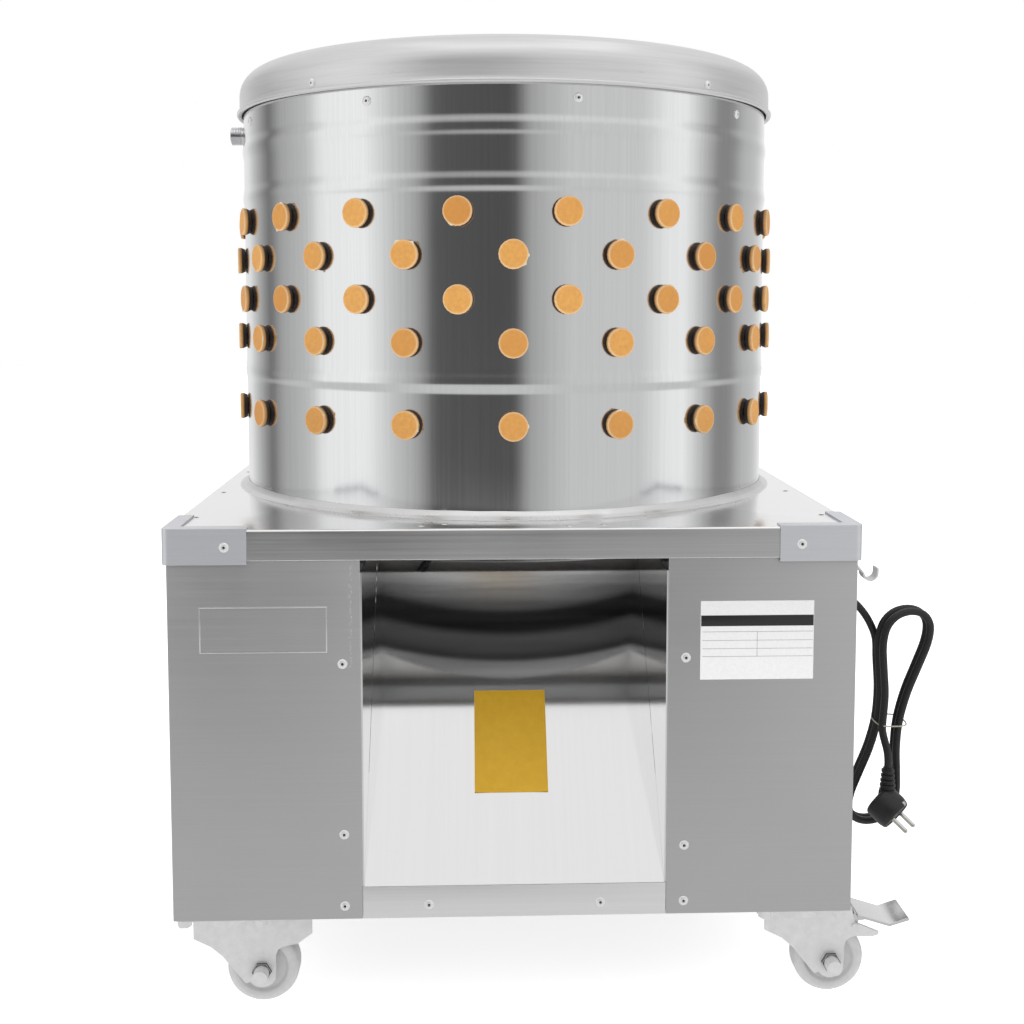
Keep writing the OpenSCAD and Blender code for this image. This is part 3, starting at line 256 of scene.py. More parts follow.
speckledSetup = {
    # name, colour, shade, roughness, scale, and then depth and metallic where they differ
    "frame": ("framePaint", (0.27, 0.275, 0.28), (0.21, 0.215, 0.22), 0.5, 220),
    "iron": ("pulleyIron", (0.1, 0.1, 0.105), (0.06, 0.06, 0.065), 0.55, 260, 0.5),
    "motor": ("motorPaint", (0.055, 0.115, 0.22), (0.045, 0.095, 0.18), 0.4, 300, 0.3),
    "blackRubber": ("blackRubber", (0.022, 0.022, 0.022), (0.012, 0.012, 0.012), 0.6, 400, 0.4),
    "blackPlastic": ("blackPlastic", (0.02, 0.02, 0.021), (0.012, 0.012, 0.012), 0.36, 900, 0.2),
    "greyPlastic": ("switchPlastic", (0.13, 0.135, 0.14), (0.11, 0.115, 0.12), 0.45, 900, 0.25),
    "green": ("startGreen", (0.02, 0.3, 0.06), (0.015, 0.24, 0.05), 0.3, 500, 0.1),
    "red": ("stopRed", (0.55, 0.015, 0.012), (0.45, 0.012, 0.01), 0.3, 500, 0.1),
    "wheel": ("wheelPlastic", (0.6, 0.6, 0.6), (0.55, 0.55, 0.55), 0.42, 160, 0.08),
    "cord": ("cordBlack", (0.018, 0.018, 0.018), (0.01, 0.01, 0.01), 0.42, 600, 0.3),
    "nickel": ("pinNickel", (0.75, 0.73, 0.69), (0.66, 0.64, 0.6), 0.2, 700, 0.1, 1.0),
    "wire": ("tieWire", (0.62, 0.56, 0.47), (0.5, 0.45, 0.37), 0.45, 700, 0.1, 0.3),
    "white": ("plateWhite", (0.86, 0.86, 0.86), (0.8, 0.8, 0.8), 0.35, 500, 0.05),
    "ink": ("bandBlack", (0.02, 0.02, 0.02), (0.012, 0.012, 0.012), 0.35, 700, 0.05),
    "line": ("ruleGrey", (0.42, 0.42, 0.42), (0.36, 0.36, 0.36), 0.4, 700, 0.05),
    "yellow": ("stickerYellow", (0.86, 0.5, 0.02), (0.8, 0.45, 0.018), 0.45, 120, 0.1),
    "flash": ("flashRubber", (0.86, 0.74, 0.55), (0.75, 0.6, 0.4), 0.6, 400, 0.2),
    # painted shade: near black for the inside of small holes
    "hole": ("holeShadeBlack", (0.02, 0.02, 0.02), (0.01, 0.01, 0.01), 0.7, 400, 0.1),
}
finishes = {"pan": panFinish(), "finger": fingerRubber(), "rivet": rivetFinish()}
finishes.update({key: brushedMetal(*row) for key, row in brushedSetup.items()})
finishes.update({key: speckled(*row) for key, row in speckledSetup.items()})
print("materials made:", len(finishes))


# mesh helpers

def placePiece(name, mesh, finish, body, stands=(), sharpAngle=35):
    mesh.name = name
    piece = bpy.data.objects.new(name, mesh)
    if not mesh.materials:
        mesh.materials.append(finishes[finish])
    if sharpAngle:
        mesh.shade_smooth()
        mesh.set_sharp_from_angle(angle=math.radians(sharpAngle))
    scene.collection.objects.link(piece)
    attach(piece, body)
    if stands:
        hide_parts(*stands)
    return piece


def meshFrom(bm):
    bmesh.ops.remove_doubles(bm, verts=bm.verts, dist=1e-7)
    bmesh.ops.recalc_face_normals(bm, faces=bm.faces)
    mesh = bpy.data.meshes.new("shape")
    bm.to_mesh(mesh)
    bm.free()
    return mesh


def skinLoops(bm, loops, closed=False):
    # quads between loops of equal length in millimetres, each loop closed on itself
    rows = [[bm.verts.new([v * mm for v in p]) for p in loop] for loop in loops]
    count = len(rows[0])
    for low, high in zip(rows, rows[1:] + rows[:1] if closed else rows[1:]):
        for i in range(count):
            j = (i + 1) % count
            bm.faces.new((low[i], low[j], high[j], high[i]))
    return rows


def turnLoop(radius, z, segments):
    return [(radius * math.cos(2 * math.pi * i / segments), radius * math.sin(2 * math.pi * i / segments), z)
            for i in range(segments)]


def moveTo(x, y, z):
    return Matrix.Translation((x * mm, y * mm, z * mm))


def addTurned(bm, profile, segments, matrix=Matrix(), closed=False):
    # a turned shape, from (radius, height) pairs, added to a mesh in the making
    rows = skinLoops(bm, [turnLoop(max(r, 1e-6), z, segments) for r, z in profile], closed)
    bmesh.ops.transform(bm, matrix=matrix, verts=[v for row in rows for v in row])


def lathe(profile, segments, matrix=Matrix(), closed=True):
    bm = bmesh.new()
    addTurned(bm, profile, segments, matrix, closed)
    return meshFrom(bm)


def arcPoints(centre, radius, start, end, steps):
    return [(centre[0] + radius * math.cos(math.radians(start + (end - start) * i / steps)),
             centre[1] + radius * math.sin(math.radians(start + (end - start) * i / steps)))
            for i in range(steps + 1)]


def softBox(bm, low, high, edge, segments=2):
    made = bmesh.ops.create_cube(bm, size=1)["verts"]
    low, high = [Vector([v * mm for v in corner]) for corner in (low, high)]
    for v in made:
        v.co = Vector((low[k] + (v.co[k] + 0.5) * (high[k] - low[k]) for k in range(3)))
    edges = list({e for v in made for e in v.link_edges})
    bmesh.ops.bevel(bm, geom=edges, offset=edge * mm, segments=segments, profile=0.5, affect="EDGES",
                    clamp_overlap=True)


def bevelCopy(nodeName, edge, segments=2, angle=40):
    # the node's own shape with its sharp edges rounded; normals lean to the larger faces, which stay flat
    bm = bmesh.new()
    bm.from_mesh(cad[nodeName].data)
    bmesh.ops.remove_doubles(bm, verts=bm.verts, dist=2e-6)
    bmesh.ops.dissolve_limit(bm, angle_limit=math.radians(0.6), verts=bm.verts, edges=bm.edges)
    sharp = [e for e in bm.edges if len(e.link_faces) == 2 and e.calc_face_angle() > math.radians(angle)]
    bmesh.ops.bevel(bm, geom=sharp, offset=edge * mm, segments=segments, profile=0.5, affect="EDGES",
                    clamp_overlap=True)
    bm.normal_update()
    bm.verts.index_update()
    leans = [Vector() for _ in bm.verts]
    for f in bm.faces:
        for v in f.verts:
            leans[v.index] += f.normal * f.calc_area()
    bmesh.ops.triangulate(bm, faces=[f for f in bm.faces if len(f.verts) > 4])
    mesh = bpy.data.meshes.new(nodeName)
    bm.to_mesh(mesh)
    bm.free()
    mesh.shade_smooth()
    mesh.normals_split_custom_set_from_vertices([lean.normalized() for lean in leans])
    return mesh


# node trees that repeat a shape

def newTree(name, inputs):
    tree = bpy.data.node_groups.new(name, "GeometryNodeTree")
    for label, kind in (*inputs, ("Shape", "Object"), ("Finish", "Material")):
        tree.interface.new_socket(label, in_out="INPUT", socket_type="NodeSocket" + kind)
    tree.interface.new_socket("Geometry", in_out="OUTPUT", socket_type="NodeSocketGeometry")
    return tree, tree.nodes.new("NodeGroupInput"), tree.nodes.new("NodeGroupOutput")


def turnTo(tree, direction):
    # the turn that points a shape's own Z in a direction
    return addNode(tree, "FunctionNodeAlignRotationToVector", {"axis": "Z"}, {"Vector": direction})


def shapeFrom(tree, source):
    return addNode(tree, "GeometryNodeObjectInfo", values={"Object": source.outputs["Shape"]},
                   output="Geometry")


def ringOf(tree, source, label, turn, shape, upright):
    # a shape at each point of a circle, its own Z pointing out from the axis, or up
    circle = addNode(tree, "GeometryNodeMeshCircle", values={
        "Vertices": source.outputs[label + " count"], "Radius": source.outputs[label + " radius"]})
    lift = addNode(tree, "ShaderNodeCombineXYZ", values={"Z": source.outputs[label + " height"]})
    ring = addNode(tree, "GeometryNodeTransform", values={
        "Geometry": circle, "Translation": lift, "Rotation": (0, 0, math.radians(turn))})
    values = {"Points": ring, "Instance": shape}
    if not upright:
        values["Rotation"] = turnTo(tree, flatten(tree, addNode(tree, "GeometryNodeInputPosition")))
    return addNode(tree, "GeometryNodeInstanceOnPoints", values=values)


def closeTree(tree, source, target, parts, seed):
    # join, give each copy its own tone, realize and set the finish
    join = tree.nodes.new("GeometryNodeJoinGeometry")
    for part in parts:
        tree.links.new(part, join.inputs["Geometry"])
    chance = addNode(tree, "FunctionNodeRandomValue", {"data_type": "FLOAT"}, {"Seed": seed}, 1)
    toned = addNode(tree, "GeometryNodeStoreNamedAttribute", {"data_type": "FLOAT", "domain": "INSTANCE"},
                    {"Geometry": join.outputs["Geometry"], "Name": "tone", "Value": chance})
    real = addNode(tree, "GeometryNodeRealizeInstances", values={"Geometry": toned})
    coated = addNode(tree, "GeometryNodeSetMaterial", values={
        "Geometry": real, "Material": source.outputs["Finish"]})
    setInputs(tree, target, {"Geometry": coated})


def growMesh(name, tree, shape, finish, values, base=None):
    # what the tree makes with copies of the shape; base is the mesh that it starts from
    sample = bpy.data.objects.new(name + "Shape", shape)
    holder = bpy.data.objects.new(name, base or bpy.data.meshes.new(name))
    for helper in (sample, holder):
        scene.collection.objects.link(helper)
    modifier = holder.modifiers.new("grow", "NODES")
    modifier.node_group = tree
    given = {"Shape": sample, "Finish": finishes[finish], **values}
    for item in tree.interface.items_tree:
        if item.in_out == "INPUT" and item.name in given:
            modifier[item.identifier] = given[item.name]
    graph = bpy.context.evaluated_depsgraph_get()
    mesh = bpy.data.meshes.new_from_object(holder.evaluated_get(graph), preserve_all_data_layers=True,
                                           depsgraph=graph)
    for helper in (holder, sample):
        bpy.data.objects.remove(helper)
    return mesh


def markPoints(mesh, rules):
    # stores a named number on each point, by a rule from its place
    for label, rule in rules.items():
        layer = mesh.attributes.new(label, "FLOAT", "POINT")
        for i, v in enumerate(mesh.vertices):
            layer.data[i].value = rule(v.co)
    return mesh


# cord, plug and tie

cordSetup = {
    "diameter": 8, "glandY": -190, "glandZ": 372, "glandLength": 24,
    "leadSteps": [(0, 0), (8, 0), (18.5, -5), (29.5, -16), (38.5, -30), (44.5, -46)],
    "hankOut": 80.5, "hankZ": 240, "hankY": -190, "up": 120, "down": 114, "lean": 0.16,
    "waist": 11, "lobeUp": 48.6, "lobeDown": 46, "step": 9, "back": 8, "forward": 8,
    "start": 150, "turns": 2, "rings": 24, "plugOut": 73.5, "plugY": -226, "plugZ": 197, "pull": 13,
}


def hankPoint(angle, last):
    # a tall loop, narrow at the waist; each turn is a step further forward, and the end comes out to the plug
    c = cordSetup
    s, k = math.sin(math.radians(angle)), math.cos(math.radians(angle))
    rise, lobe = (c["up"], c["lobeUp"]) if s > 0 else (c["down"], c["lobeDown"])
    t = max(0.0, (angle - last) / 210 + 1)
    x = panelX + c["hankOut"] + c["lean"] * rise * s + k * (c["waist"] + lobe * s * s)
    y = c["hankY"] - c["step"] * (angle - c["start"]) / 360 + c["back"] * max(0.0, -s) ** 2
    return Vector((x, y - c["forward"] * t * t * (3 - 2 * t), c["hankZ"] + rise * s))


def bezierPoint(p, q, r, s, t):
    return (1 - t) ** 3 * p + 3 * t * (1 - t) ** 2 * q + 3 * t * t * (1 - t) * r + t ** 3 * s


def cordRoute():
    c = cordSetup
    begin = Vector((panelX + c["glandLength"], c["glandY"], c["glandZ"]))
    route = [begin + Vector((x, 0, z)) for x, z in c["leadSteps"]]
    last = c["start"] + 360 * c["turns"] + 30
    loop = [hankPoint(a, last) for a in range(c["start"], last + 1, 360 // c["rings"])]
    route.append(loop[0] - (loop[1] - loop[0]).normalized() * c["diameter"])
    plugTop = Vector((panelX + c["plugOut"], c["plugY"], c["plugZ"]))
    tailEnd = plugTop + Vector((0, 0, c["diameter"]))
    leave = (loop[-1] - loop[-2]).normalized() * c["pull"]
    tail = [bezierPoint(loop[-1], loop[-1] + leave, tailEnd + Vector((0, 0, c["pull"])), tailEnd, t)
            for t in (0.25, 0.5, 0.75)]
    return [p * mm for p in route + loop + tail + [tailEnd, plugTop]], plugTop * mm


def smoothRoute(points, parts):
    # Catmull-Rom through the points
    out = []
    for i in range(len(points) - 1):
        before, after = points[max(0, i - 1)], points[min(len(points) - 1, i + 2)]
        for k in range(parts):
            t = k / parts
            a, b = points[i], points[i + 1]
            out.append(0.5 * (2 * a + (b - before) * t + (2 * before - 5 * a + 4 * b - after) * t * t
                              + (3 * a - before - 3 * b + after) * t ** 3))
    return out + [points[-1]]


plugSetup = {
    "relief": 26, "reliefR": 8.5, "ribs": 5, "bodyR": 19, "thick": 26, "faceR": 17,
    "pitch": 34, "yaw": -42, "pinR": 2.4, "pinLong": 19, "pinGap": 19,
}


def plugMeshes(plugTop):
    p = plugSetup
    centre = plugTop - Vector((0, 0, (p["relief"] + p["bodyR"] - 2) * mm))
    aim = (Matrix.Translation(centre) @ Matrix.Rotation(math.radians(p["yaw"]), 4, "Z")
           @ Matrix.Rotation(math.radians(90 + p["pitch"]), 4, "Y"))
    half = p["thick"] / 2
    shell = [(0, -half), (p["bodyR"] - 7, -half)]
    shell += arcPoints((p["bodyR"] - 5, -half + 5), 5, -80, 0, 6)
    shell += [(p["bodyR"], half - 7), (p["faceR"] + 0.6, half - 1.2), (p["faceR"] - 0.6, half), (14, half),
              (13.6, half - 0.8), (0, half - 0.8)]
    bm = bmesh.new()
    addTurned(bm, shell, 40, aim)
    # the ribbed sleeve above the body
    rib = p["relief"] / p["ribs"]
    sleeve = [(0, -10), (p["reliefR"] + 1.5, -10), (p["reliefR"] + 0.5, 0)]
    for i in range(p["ribs"]):
        wide = p["reliefR"] - 0.45 * i
        narrow = wide - 1.7
        sleeve += [(wide, rib * (i + 0.08)), (wide, rib * (i + 0.5)), (narrow, rib * (i + 0.62)),
                   (narrow, rib * (i + 0.94))]
    sleeve += [(5, p["relief"] - 0.3), (4.2, p["relief"]), (0, p["relief"])]
    addTurned(bm, sleeve, 28, Matrix.Translation(plugTop - Vector((0, 0, p["relief"] * mm))))
    body = meshFrom(bm)
    bm = bmesh.new()
    pin = [(0, half - 2), (p["pinR"], half - 2), (p["pinR"], half + p["pinLong"] - 3)]
    pin += arcPoints((0, half + p["pinLong"] - p["pinR"]), p["pinR"], 0, 90, 5)
    for side in (-1, 1):
        addTurned(bm, pin, 16, moveTo(0, side * p["pinGap"] / 2, 0))
    for side in (-1, 1):   # the two earth contacts at the body's edge
        softBox(bm, (side * 16 - 2.2, -2.6, half - 9), (side * 16 + 2.2, 2.6, half - 0.3), 0.5)
    bmesh.ops.transform(bm, matrix=aim, verts=bm.verts)
    return body, meshFrom(bm)


def makeCord():
    route, plugTop = cordRoute()
    line = smoothRoute(route, 4)
    thick = cordSetup["diameter"] * mm
    curve = bpy.data.curves.new("mainsCord", "CURVE")
    curve.dimensions = "3D"
    curve.bevel_depth = thick / 2
    curve.bevel_resolution = 5
    curve.use_fill_caps = True
    spline = curve.splines.new("POLY")
    spline.points.add(len(line) - 1)
    for point, place in zip(spline.points, line):
        point.co = (*place, 1)
    curve.materials.append(finishes["cord"])
    cordPiece = bpy.data.objects.new("mainsCord", curve)
    scene.collection.objects.link(cordPiece)
    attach(cordPiece, "cabinet")
    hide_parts("cord_lead", "cord_hank")
    bodyMesh, pinMesh = plugMeshes(plugTop)
    plugBody = placePiece("plugBody", bodyMesh, "cord", "cabinet", ("plug",), 50)
    plugPins = placePiece("plugPins", pinMesh, "nickel", "cabinet")
    tie = makeTie()
    length = sum((b - a).length for a, b in zip(line, line[1:]))
    return length


tieSetup = {"wireR": 0.75, "rise": 0.6, "points": 48, "square": 0.6}


def makeTie():
    # a wire round the waist of the hank, inside the band of its node
    s = tieSetup
    low, high = [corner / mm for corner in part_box("cord_tie")]
    middle = (low + high) / 2
    half = (high - low) / 2
    ring = []
    for i in range(s["points"]):
        a = 2 * math.pi * i / s["points"]
        x, y = [math.copysign(abs(k) ** s["square"], k) for k in (math.cos(a), math.sin(a))]
        ring.append(Vector((middle.x + x * (half.x - s["wireR"]), middle.y + y * (half.y - s["wireR"]),
                            middle.z + s["rise"] * math.sin(a))))
    loops = []
    for i, p in enumerate(ring):
        along = (ring[(i + 1) % len(ring)] - ring[i - 1]).normalized()
        side = along.cross(Vector((0, 0, 1))).normalized()
        up = side.cross(along)
        loops.append([p + s["wireR"] * (math.cos(k * math.pi / 4) * side + math.sin(k * math.pi / 4) * up)
                      for k in range(8)])
    bm = bmesh.new()
    skinLoops(bm, loops, closed=True)
    return placePiece("hankTie", meshFrom(bm), "wire", "cabinet", ("cord_tie",), 60)


print("cord made, %.2f m" % makeCord())


# drum and rim

drumSetup = {
    "wall": 1.5, "low": 436, "high": 912, "rings": (470, 520, 560, 660, 700, 740, 770, 880),
    "beads": (609, 801, 854), "beadHalf": 13, "beadProud": 1.5, "segments": 192,
}
footSetup = {"high": 8, "wide": 10, "ridge": 0.35, "points": 384, "steps": 12, "waves": 7, "seed": 5}


def wallOut(z):
    # a low soft wave at each bead
    d = drumSetup
    near = min(abs(z - bead) for bead in d["beads"]) / d["beadHalf"]
    return d["beadProud"] / 2 * (1 + math.cos(math.pi * near)) if near < 1 else 0.0


def makeDrum():
    d = drumSetup
    heights = {d["low"], d["high"], *d["rings"]}
    for bead in d["beads"]:
        heights.update(range(bead - d["beadHalf"] - 1, bead + d["beadHalf"] + 2))
    outer = [(drumR + wallOut(z), z) for z in sorted(heights)]
    inner = [(r - d["wall"], z) for r, z in reversed(outer)]
    placePiece("drumShell", lathe(outer + inner, d["segments"]), "drum", "cabinet",
               ("drum",), 50)


def makeFootWeld():
    # the weld fillet at the drum's foot, a little uneven as laid by hand
    f = footSetup
    dice = random.Random(f["seed"])
    waves = [(dice.randint(5, 60), dice.uniform(0, 6.28), dice.uniform(0.05, 0.2)) for _ in range(f["waves"])]
    loops = []
    for across in range(f["steps"] + 1):
        t = across / f["steps"]
        loop = []
        for i in range(f["points"]):
            a = 2 * math.pi * i / f["points"]
            swell = sum(s * math.sin(n * a + p) for n, p, s in waves)
            out = drumR + 0.2 + t * (f["wide"] - 0.4 + 0.8 * swell)
            ridge = f["ridge"] * math.exp(-((t - 0.62) / 0.12) ** 2)
            high = (1 - t) ** 1.7 * (f["high"] + 0.5 * swell) + ridge
            loop.append((out * math.cos(a), out * math.sin(a), plateZ + max(0.05, high)))
        loops.append(loop)
    under = [[(x, y, plateZ - 0.2) for x, y, _ in loop] for loop in (loops[-1], loops[0])]
    bm = bmesh.new()
    skinLoops(bm, loops + under, closed=True)
    placePiece("footWeld", meshFrom(bm), "weld", "cabinet", (), 60)


rimSetup = {"low": 893, "inside": 302, "sheet": 2, "roll": 28, "skirt": 21.5, "fold": 2.2, "edge": 4,
            "end": 150, "segments": 192}


def makeRim():
    r = rimSetup
    outside = r["inside"] + r["sheet"]
    cx, cz = outside - r["roll"], r["low"] + r["skirt"]
    low = r["low"]
    foldX, foldZ = outside + r["fold"] / 2, low + r["fold"]
    outer = [(r["inside"], low + 1)] + arcPoints((foldX, foldZ), r["fold"], -110, 100, 10)
    outer += [(outside + 0.4, foldZ + 3.2), (outside, foldZ + 5)]
    outer += [(outside, cz - 4)] + arcPoints((cx, cz), r["roll"], 0, r["end"], 40)
    tip = (cx + (r["roll"] - r["edge"]) * math.cos(math.radians(r["end"])),
           cz + (r["roll"] - r["edge"]) * math.sin(math.radians(r["end"])))
    outer += arcPoints(tip, r["edge"], r["end"], r["end"] + 250, 14)
    inner = arcPoints((cx, cz), r["roll"] - r["sheet"], r["end"] - 8, 0, 30) + [(r["inside"], low + 6)]
    placePiece("rimRing", lathe(outer + inner, r["segments"]), "rim", "cabinet",
               ("rim_ring",), 50)


makeDrum()
makeFootWeld()
makeRim()
print("drum and rim made")


# rubber fingers

fingerSetup = {
    "headR": 14.5, "headT": 8.5, "undercut": 4.8, "seatR": 12.6, "neckR": 9.5, "rootR": 12, "tipR": 7.5,
    "long": 95, "ribs": 6, "groove": 1.6, "segments": 20, "seed": 11,
    "count": 18, "rows": (773, 732, 689, 647, 567), "turns": (0.5, 0, 0.5, 0, 0),
    "wallGap": 0.05, "wallNeck": 1.85,
    "rings": ((6, 78), (12, 140), (12, 196), (18, 250)), "plateSeat": 451.95, "plateNeck": 3.1,
}


def fingerMesh(neck):
    # the head's seat is at z = 0, the head points to +Z and the ribbed body to -Z
    f = fingerSetup
    top, rim = f["headT"], f["headR"]
    profile = [(0, top - 0.25), (rim * 0.55, top - 0.1), (rim - 2.2, top - 0.02), (rim - 1.4, top),
               (rim - 0.4, top - 0.5), (rim, top - 1.6), (rim, f["undercut"]), (rim - 0.2, f["undercut"] - 1),
               (f["seatR"], 0.1), (f["neckR"], 0.0), (f["neckR"], -neck), (f["rootR"], -neck)]
    pitch = (f["long"] - 4 - f["tipR"]) / f["ribs"]
    taper = (f["rootR"] - f["tipR"]) / f["ribs"]
    for i in range(f["ribs"]):
        wide = f["rootR"] - i * taper
        z = -neck - 4 - i * pitch
        profile += [(wide, z), (wide - f["groove"] - taper, z - 0.75 * pitch)]
    end = -neck - f["long"]
    profile += [(f["tipR"], end + f["tipR"]), (f["tipR"] * 0.72, end + 2.1), (0, end)]
    return lathe(profile, f["segments"], closed=False)


def headShade(co):
    # how much painted shade the rubber gets: the undercut behind the head's edge, and a little on the body
    # inside the drum
    if co.z < -1 * mm:
        return 0.2
    return min(1.0, max(0.0, fingerSetup["undercut"] + 0.4 - co.z / mm))


def headRim(co):
    # how pale the rubber is: only round the trimmed edge of the face
    out = math.hypot(co.x, co.y) / mm - fingerSetup["headR"]
    if co.z / mm < fingerSetup["headT"] - 2 or out < -1.8:
        return 0.0
    return 0.7 if -0.6 < out < -0.2 else 0.25


def growRings(name, rings, upright, shape, seed):
    # fingers on rings of (count, radius, height, turn)
    labels = ["Ring %d" % (k + 1) for k in range(len(rings))]
    kinds = ((" count", "Int"), (" radius", "Float"), (" height", "Float"))
    tree, source, target = newTree(name + "OnRings", [(label + part, kind) for label in labels
                                                      for part, kind in kinds])
    copies = shapeFrom(tree, source)
    parts = []
    values = {}
    for label, (count, radius, height, turn) in zip(labels, rings):
        parts.append(ringOf(tree, source, label, turn, copies, upright))
        values[label + " count"] = count
        values[label + " radius"] = radius * mm
        values[label + " height"] = height * mm
    closeTree(tree, source, target, parts, seed)
    return growMesh(name, tree, shape, "finger", values)


def makeFingers():
    f = fingerSetup
    wall = [(f["count"], drumR + f["wallGap"], height, -90 + turn * 360 / f["count"])
            for height, turn in zip(f["rows"], f["turns"])]
    # the 'side' mark carries the painted shade of the undercut and of the body inside the drum
    shape = markPoints(fingerMesh(f["wallNeck"]), {"side": headShade, "rim": headRim})
    mesh = growRings("wallFingers", wall, False, shape, f["seed"])
    placePiece("wallFingers", mesh, "finger", "cabinet",
               ["wall_fingers_%d" % k for k in range(1, 6)], 40)
    plate = [(count, radius, f["plateSeat"], 180 / count) for count, radius in f["rings"]]
    shape = fingerMesh(f["plateNeck"])
    shape.transform(Matrix.Rotation(math.pi, 4, "X"))
    # the same painted shade on the plate fingers, whose heads point down
    markPoints(shape, {"side": lambda co: headShade(-co)})
    mesh = growRings("plateFingers", plate, True, shape, f["seed"] + 1)
    placePiece("plateFingers", mesh, "finger", "rotor", ("plate_fingers",), 40)


flashSetup = {
    "share": 0.6, "most": 2, "wide": (0.12, 0.34), "behind": (0.5, 1.4), "long": (0.9, 2.2), "thick": 0.35,
    # one leaf, as places along its width and how far it reaches out there
    "leaf": ((-1, 0), (-0.4, 0.6), (0.1, 1.0), (0.5, 0.5), (1, 0)), "root": 0.35, "seed": 23,
}


def makeFlash():
    # thin leaves of moulding flash left on some heads
    f, s = fingerSetup, flashSetup
    dice = random.Random(s["seed"])
    bm = bmesh.new()
    for z, turn in zip(f["rows"], f["turns"]):
        for i in range(f["count"]):
            a = math.radians(-90 + (i + turn) * 360 / f["count"])
            if dice.random() > s["share"]:
                continue
            out = Vector((math.cos(a), math.sin(a), 0))
            side = Vector((-math.sin(a), math.cos(a), 0))
            for _ in range(dice.randint(1, s["most"])):
                b = dice.uniform(0, 2 * math.pi)
                wide = dice.uniform(*s["wide"])
                rim = f["headR"] - s["root"]
                face = drumR + f["headT"] - dice.uniform(*s["behind"])
                seat = out * (face * mm) + Vector((0, 0, z * mm))
                points = []
                for k, reach in s["leaf"]:
                    c = b + wide * k
                    tip = (rim + reach * dice.uniform(*s["long"])) * mm
                    points.append(seat + side * (tip * math.cos(c)) + Vector((0, 0, tip * math.sin(c))))
                low = [bm.verts.new(p) for p in points]
                high = [bm.verts.new(p + out * s["thick"] * mm) for p in points]
                bm.faces.new(low[::-1])
                bm.faces.new(high)
                for m in range(len(low)):
                    n = (m + 1) % len(low)
                    bm.faces.new((low[m], low[n], high[n], high[m]))
    placePiece("fingerFlash", meshFrom(bm), "flash", "cabinet", (), 30)


makeFingers()
makeFlash()
print("fingers made")


# rivets

rivetSetup = {
    "headR": 4.8, "headT": 1.8, "shankR": 1.9, "deep": 4, "mandrelShadeR": 1.2, "seed": 3,
    # the rows on the panels and the sill, and the two on each side of a corner cap
    "low": 113, "frontX": 162, "leftHeights": (183, 348), "rightHeights": (168, 351), "sillX": 82,
    "sides": (-250, -85, 85, 250), "capFront": (270, 350.5), "capSide": (328.5, 292), "capHeight": 460,
    # radius, height and the turns from the front of the rows round the drum and the rim
    "rounds": ((300.05, 880.52, range(12, 372, 40)), (304.05, 902.7, (-40.5, 40.5, 139.5, 220.5))),
}


def rivetMesh():
    r = rivetSetup
    profile = [(0, 0.35), (1.0, 0.4), (1.35, 0.75), (1.5, r["headT"] - 0.1), (2.1, r["headT"]),
               (3.0, r["headT"] * 0.86), (4.0, r["headT"] * 0.58), (4.6, r["headT"] * 0.3),
               (r["headR"], 0.12), (r["headR"], 0), (r["shankR"], 0), (r["shankR"], -r["deep"])]
    return lathe(profile, 20, closed=False)


def rivetPlaces():
    # place and outward direction of each rivet
    r = rivetSetup
    low = r["low"]
    front = [(-r["frontX"], z) for z in (low, *r["leftHeights"])]
    front += [(r["frontX"], z) for z in (low, *r["rightHeights"])]
    front += [(-r["sillX"], low), (r["sillX"], low)]
    places = [((x, -panelY, z), (0, -1, 0)) for x, z in front]
    for t in r["sides"]:
        places += [((-panelX, t, low), (-1, 0, 0)), ((panelX, t, low), (1, 0, 0)),
                   ((t, panelY, low), (0, 1, 0))]
    for sx, sy in ((-1, -1), (-1, 1), (1, -1), (1, 1)):
        for (x, y), facing in ((r["capFront"], (0, sy, 0)), (r["capSide"], (sx, 0, 0))):
            places.append(((sx * x, sy * y, r["capHeight"]), facing))
    for radius, z, turns in r["rounds"]:
        for turn in turns:
            a = math.radians(-90 + turn)
            places.append(((radius * math.cos(a), radius * math.sin(a), z), (math.cos(a), math.sin(a), 0)))
    return places


def makeRivets():
    tree, source, target = newTree("rivetsOnPoints", [("Points", "Geometry"), ("Size", "Float")])
    facing = addNode(tree, "GeometryNodeInputNamedAttribute", {"data_type": "FLOAT_VECTOR"},
                     {"Name": "facing"})
    spread = addNode(tree, "GeometryNodeInstanceOnPoints", values={
        "Points": source.outputs["Points"], "Instance": shapeFrom(tree, source),
        "Rotation": turnTo(tree, facing), "Scale": source.outputs["Size"]})
    closeTree(tree, source, target, [spread], rivetSetup["seed"])
    places = rivetPlaces()
    seats = bpy.data.meshes.new("rivetSeats")
    seats.from_pydata([[k * mm for k in p] for p, _ in places], [], [])
    facingLayer = seats.attributes.new("facing", "FLOAT_VECTOR", "POINT")
    for i, (_, n) in enumerate(places):
        facingLayer.data[i].vector = n
    # the middle of each head takes the painted shade of the mandrel's hollow
    shape = markPoints(rivetMesh(), {"mandrelShade": lambda co: float(co.xy.length < rivetSetup["mandrelShadeR"] * mm)})
    mesh = growMesh("popRivets", tree, shape, "rivet", {"Size": 1.0}, seats)
    placePiece("popRivets", mesh, "rivet", "cabinet", ("pop_rivets",), 40)
    return len(places)


print("rivets made:", makeRivets())


# cabinet

plateSetup = {"wide": 654, "deep": 698, "lip": 29, "sheet": 1.5, "corner": 6, "fold": 2.6, "points": 256}


def roundedLoop(wide, deep, corner, z, count):
    # points of a rounded rectangle in the directions of a circle's points
    loop = []
    for i in range(count):
        a = 2 * math.pi * i / count
        dx, dy = math.cos(a), math.sin(a)
        t = min(wide / 2 / max(abs(dx), 1e-9), deep / 2 / max(abs(dy), 1e-9))
        x, y = dx * t, dy * t
        cx, cy = wide / 2 - corner, deep / 2 - corner
        if abs(x) > cx and abs(y) > cy:
            away = Vector((abs(x) - cx, abs(y) - cy)).normalized() * corner
            x, y = math.copysign(cx + away.x, x), math.copysign(cy + away.y, y)
        loop.append((x, y, z))
    return loop


